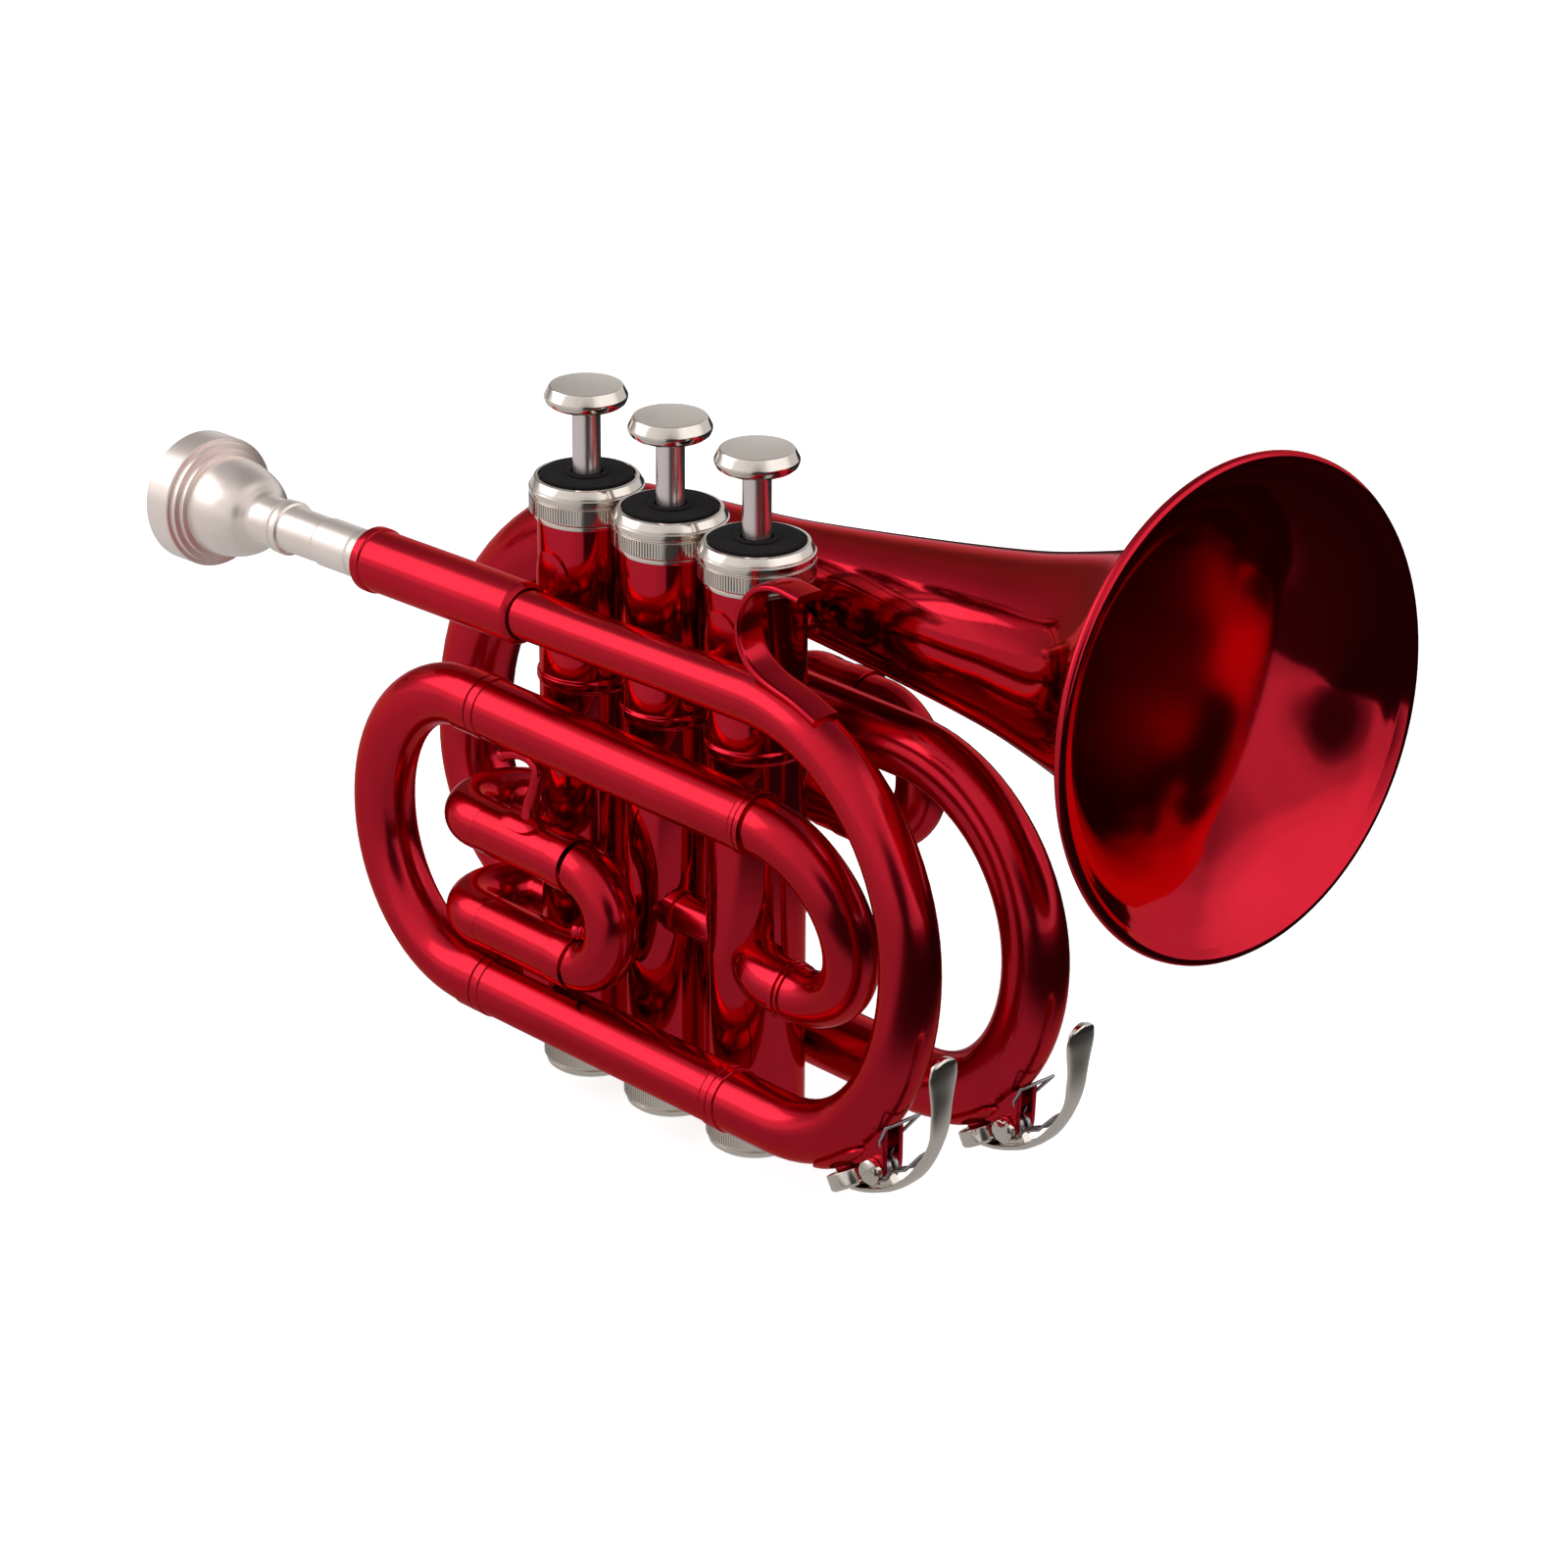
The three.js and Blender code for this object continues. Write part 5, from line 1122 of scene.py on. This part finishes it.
def extruded(rows, y0, y1, matrix, edge=0.15):
    """A flat outline of X and Z rows in mm as a plate between two Y places, edges broken."""
    work = bmesh.new()
    front = [work.verts.new((x * mm, y0 * mm, z * mm)) for x, z in rows]
    face = work.faces.new(front)
    pulled = bmesh.ops.extrude_face_region(work, geom=[face])
    lifted = [v for v in pulled["geom"] if isinstance(v, bmesh.types.BMVert)]
    bmesh.ops.translate(work, verts=lifted, vec=(0, (y1 - y0) * mm, 0))
    work.normal_update()
    bmesh.ops.bevel(work, geom=work.edges[:], offset=edge * mm, segments=2, affect="EDGES")
    mesh = bpy.data.meshes.new("plate")
    work.to_mesh(mesh)
    work.free()
    outward(mesh).transform(matrix)
    return mesh


lever_rows = [
    (0.5, 4.9), (3.5, 5.8), (8, 6.6), (12.5, 6.9), (18.2, 5.9), (23.5, 3.5), (27.6, 0.6),
    (30.8, -3.3), (33.8, -8), (36.1, -11.4), (37.2, -13.1),
]
pivot_along, pivot_out, ear_y = 10, 2.9, 2.0


def lever_width(share):
    """Narrow at the cup, a little wider at the screw, slim behind it, and broad at the touch."""
    widths = [(0, 3.6), (0.2, 4.8), (0.36, 5), (0.56, 3.7), (0.7, 4.9), (0.85, 6.9), (0.92, 6.3)]
    widths += [(0.955, 5.1), (0.98, 3.6), (1, 1.3)]
    for (a, wa), (b, wb) in zip(widths, widths[1:]):
        if share <= b:
            t = (share - a) / (b - a)
            return wa + (wb - wa) * t * t * (3 - 2 * t)
    return widths[-1][1]


def fall(along):
    """How far the bow's top has curved away at a distance along it from the nipple, in mm."""
    return along * along / 90


nipple_rows = rounded([(1.3, -1), (2.4, -1), (2.4, 1.2), (2.1, 1.8), (1.3, 1.8)], 0.2, True)
ear_rows = [(4, 0.3), (7, 1.2), (8.2, 4), (9, 4.9), (11.2, 4.9), (12.6, 3.4), (17, -3.9), (4, -1.6)]
ear_rows = rounded(ear_rows, 0.9, True)
cup_rows = [(0, 3.65), (4.05, 3.65), (4.05, 1.6), (4.5, 1.6), (4.5, 4.4), (4.1, 4.9), (0, 5)]
cup_rows = rounded(cup_rows, 0.2)
knuckle_rows = rounded([(1.45, -1.05), (2, -1.05), (2, 1.05), (1.45, 1.05)], 0.12, True)
web_rows = [(-1.4, 1.3), (1.4, 1.3), (1.8, 3.7), (-1.8, 3.7)]
web_rows = [(pivot_along + x, pivot_out + z) for x, z in web_rows]
cork_rows = rounded([(0, 1.9), (3.85, 1.9), (3.85, 3.3), (0, 3.3)], 0.3)
screw_rows = [(0, -3), (1.1, -3), (1.1, 2.6), (2.5, 2.65), (2.55, 3.9), (2.1, 4.4), (1, 4.7)]
screw_rows = rounded([*screw_rows, (0, 4.75)], 0.15)
slot_rows = [(-3, -0.28), (3, -0.28), (3, 0.28), (-3, 0.28)]
slot_turn = Matrix.Rotation(math.radians(14), 4, "Y")
coil_r, coil_steps = 2.5, 16
coil_turns = [math.radians(200) + 2 * math.pi * k / coil_steps for k in range(41)]
coil_wire, loop_wire, hairpin_wire = 0.3, 0.36, 0.32
rest = coil_wire - fall(19.8)
loop_rows = [(11.9, 1.3, 1), (15, 2.8, rest + 2), (19.6, 4.3, rest), (20, 3.7, rest)]
loop_rows += [(20, -3.7, rest), (19.6, -4.3, rest), (15, -2.8, rest + 2), (11.9, -1.3, 1)]
hairpin_rows = [(12.4, 1, 4.2), (17, 1.2, 4.6), (22.4, 1.1, 2.9), (22.9, 0, 2.7)]
hairpin_rows += [(22.4, -1.1, 2.9), (17, -1.2, 4.6), (12.4, -1, 4.2)]
key_places = (
    (1, (84.6, 34.5, lower_z, 41.8, lead_y, 6.1)),
    (2, (81.7, 31, side_low, 33.9, side_y, 6.6)),
)
for number, bow_sizes in key_places:
    key = key_frame(*bow_sizes)
    tube_r = bow_sizes[-1]

    def on_bow(u, v, t):
        along = v + 1.6
        across, out = round_by(tube_r, u, t)
        return (key @ (Vector((along, across, out - tube_r - fall(along))) * mm)) / mm

    plate = laid_plate(16, 9.6, 1.1, on_bow, 0.6)
    nipple = turned_mesh(nipple_rows, key, True, 40)
    ears = [extruded(ear_rows, y - 0.55, y + 0.55, key) for y in (-ear_y, ear_y)]
    saddle = joined_piece(f"key_saddle_{number}", [plate, nipple, *ears], lacquered())
    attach(saddle, "body")
    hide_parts(f"water_key_saddle_{number}")

    pivot = key @ placed(pivot_along, 0, pivot_out, (0, 1, 0))
    arm = strip_mesh(lever_rows, lever_width, 1.15, 0, key, -0.07)
    cork_cup = turned_mesh(cup_rows, key, False, 48)
    knuckle = turned_mesh(knuckle_rows, pivot, True, 40)
    web = extruded(web_rows, -1, 1, key)
    lever = joined_piece(f"key_lever_{number}", [arm, cork_cup, knuckle, web], nickel())
    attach(lever, f"water_key_{number}")
    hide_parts(f"water_key_lever_{number}")

    cork = made(f"key_cork_{number}", turned_mesh(cork_rows, key, False, 40), corky())
    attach(cork, f"water_key_{number}")
    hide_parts(f"water_key_cork_{number}")

    screw = made(f"key_screw_{number}", turned_mesh(screw_rows, pivot, False, 40), nickel())
    at_pivot = Matrix.Translation(Vector((pivot_along, 0, pivot_out)) * mm)
    cut(screw, [extruded(slot_rows, 3.9, 5, key @ at_pivot @ slot_turn, 0.02)], nickel())
    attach(screw, "body")

    wires = []
    for side in (-1, 1):
        coil = []
        for k, a in enumerate(coil_turns):
            x, z = pivot_along + coil_r * math.cos(a), pivot_out + coil_r * math.sin(a)
            coil.append((Vector((x, side * (1.32 - 0.012 * k), z)), coil_wire))
        wires.append(coil)
    wires.append([(Vector(row), loop_wire) for row in loop_rows])
    wires.append([(Vector(row), hairpin_wire) for row in hairpin_rows])
    meshes = [drawn_mesh(wire, wire_finish, 12, key) for wire in wires]
    spring = joined_piece(f"key_spring_{number}", meshes, wire_finish)
    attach(spring, "body")
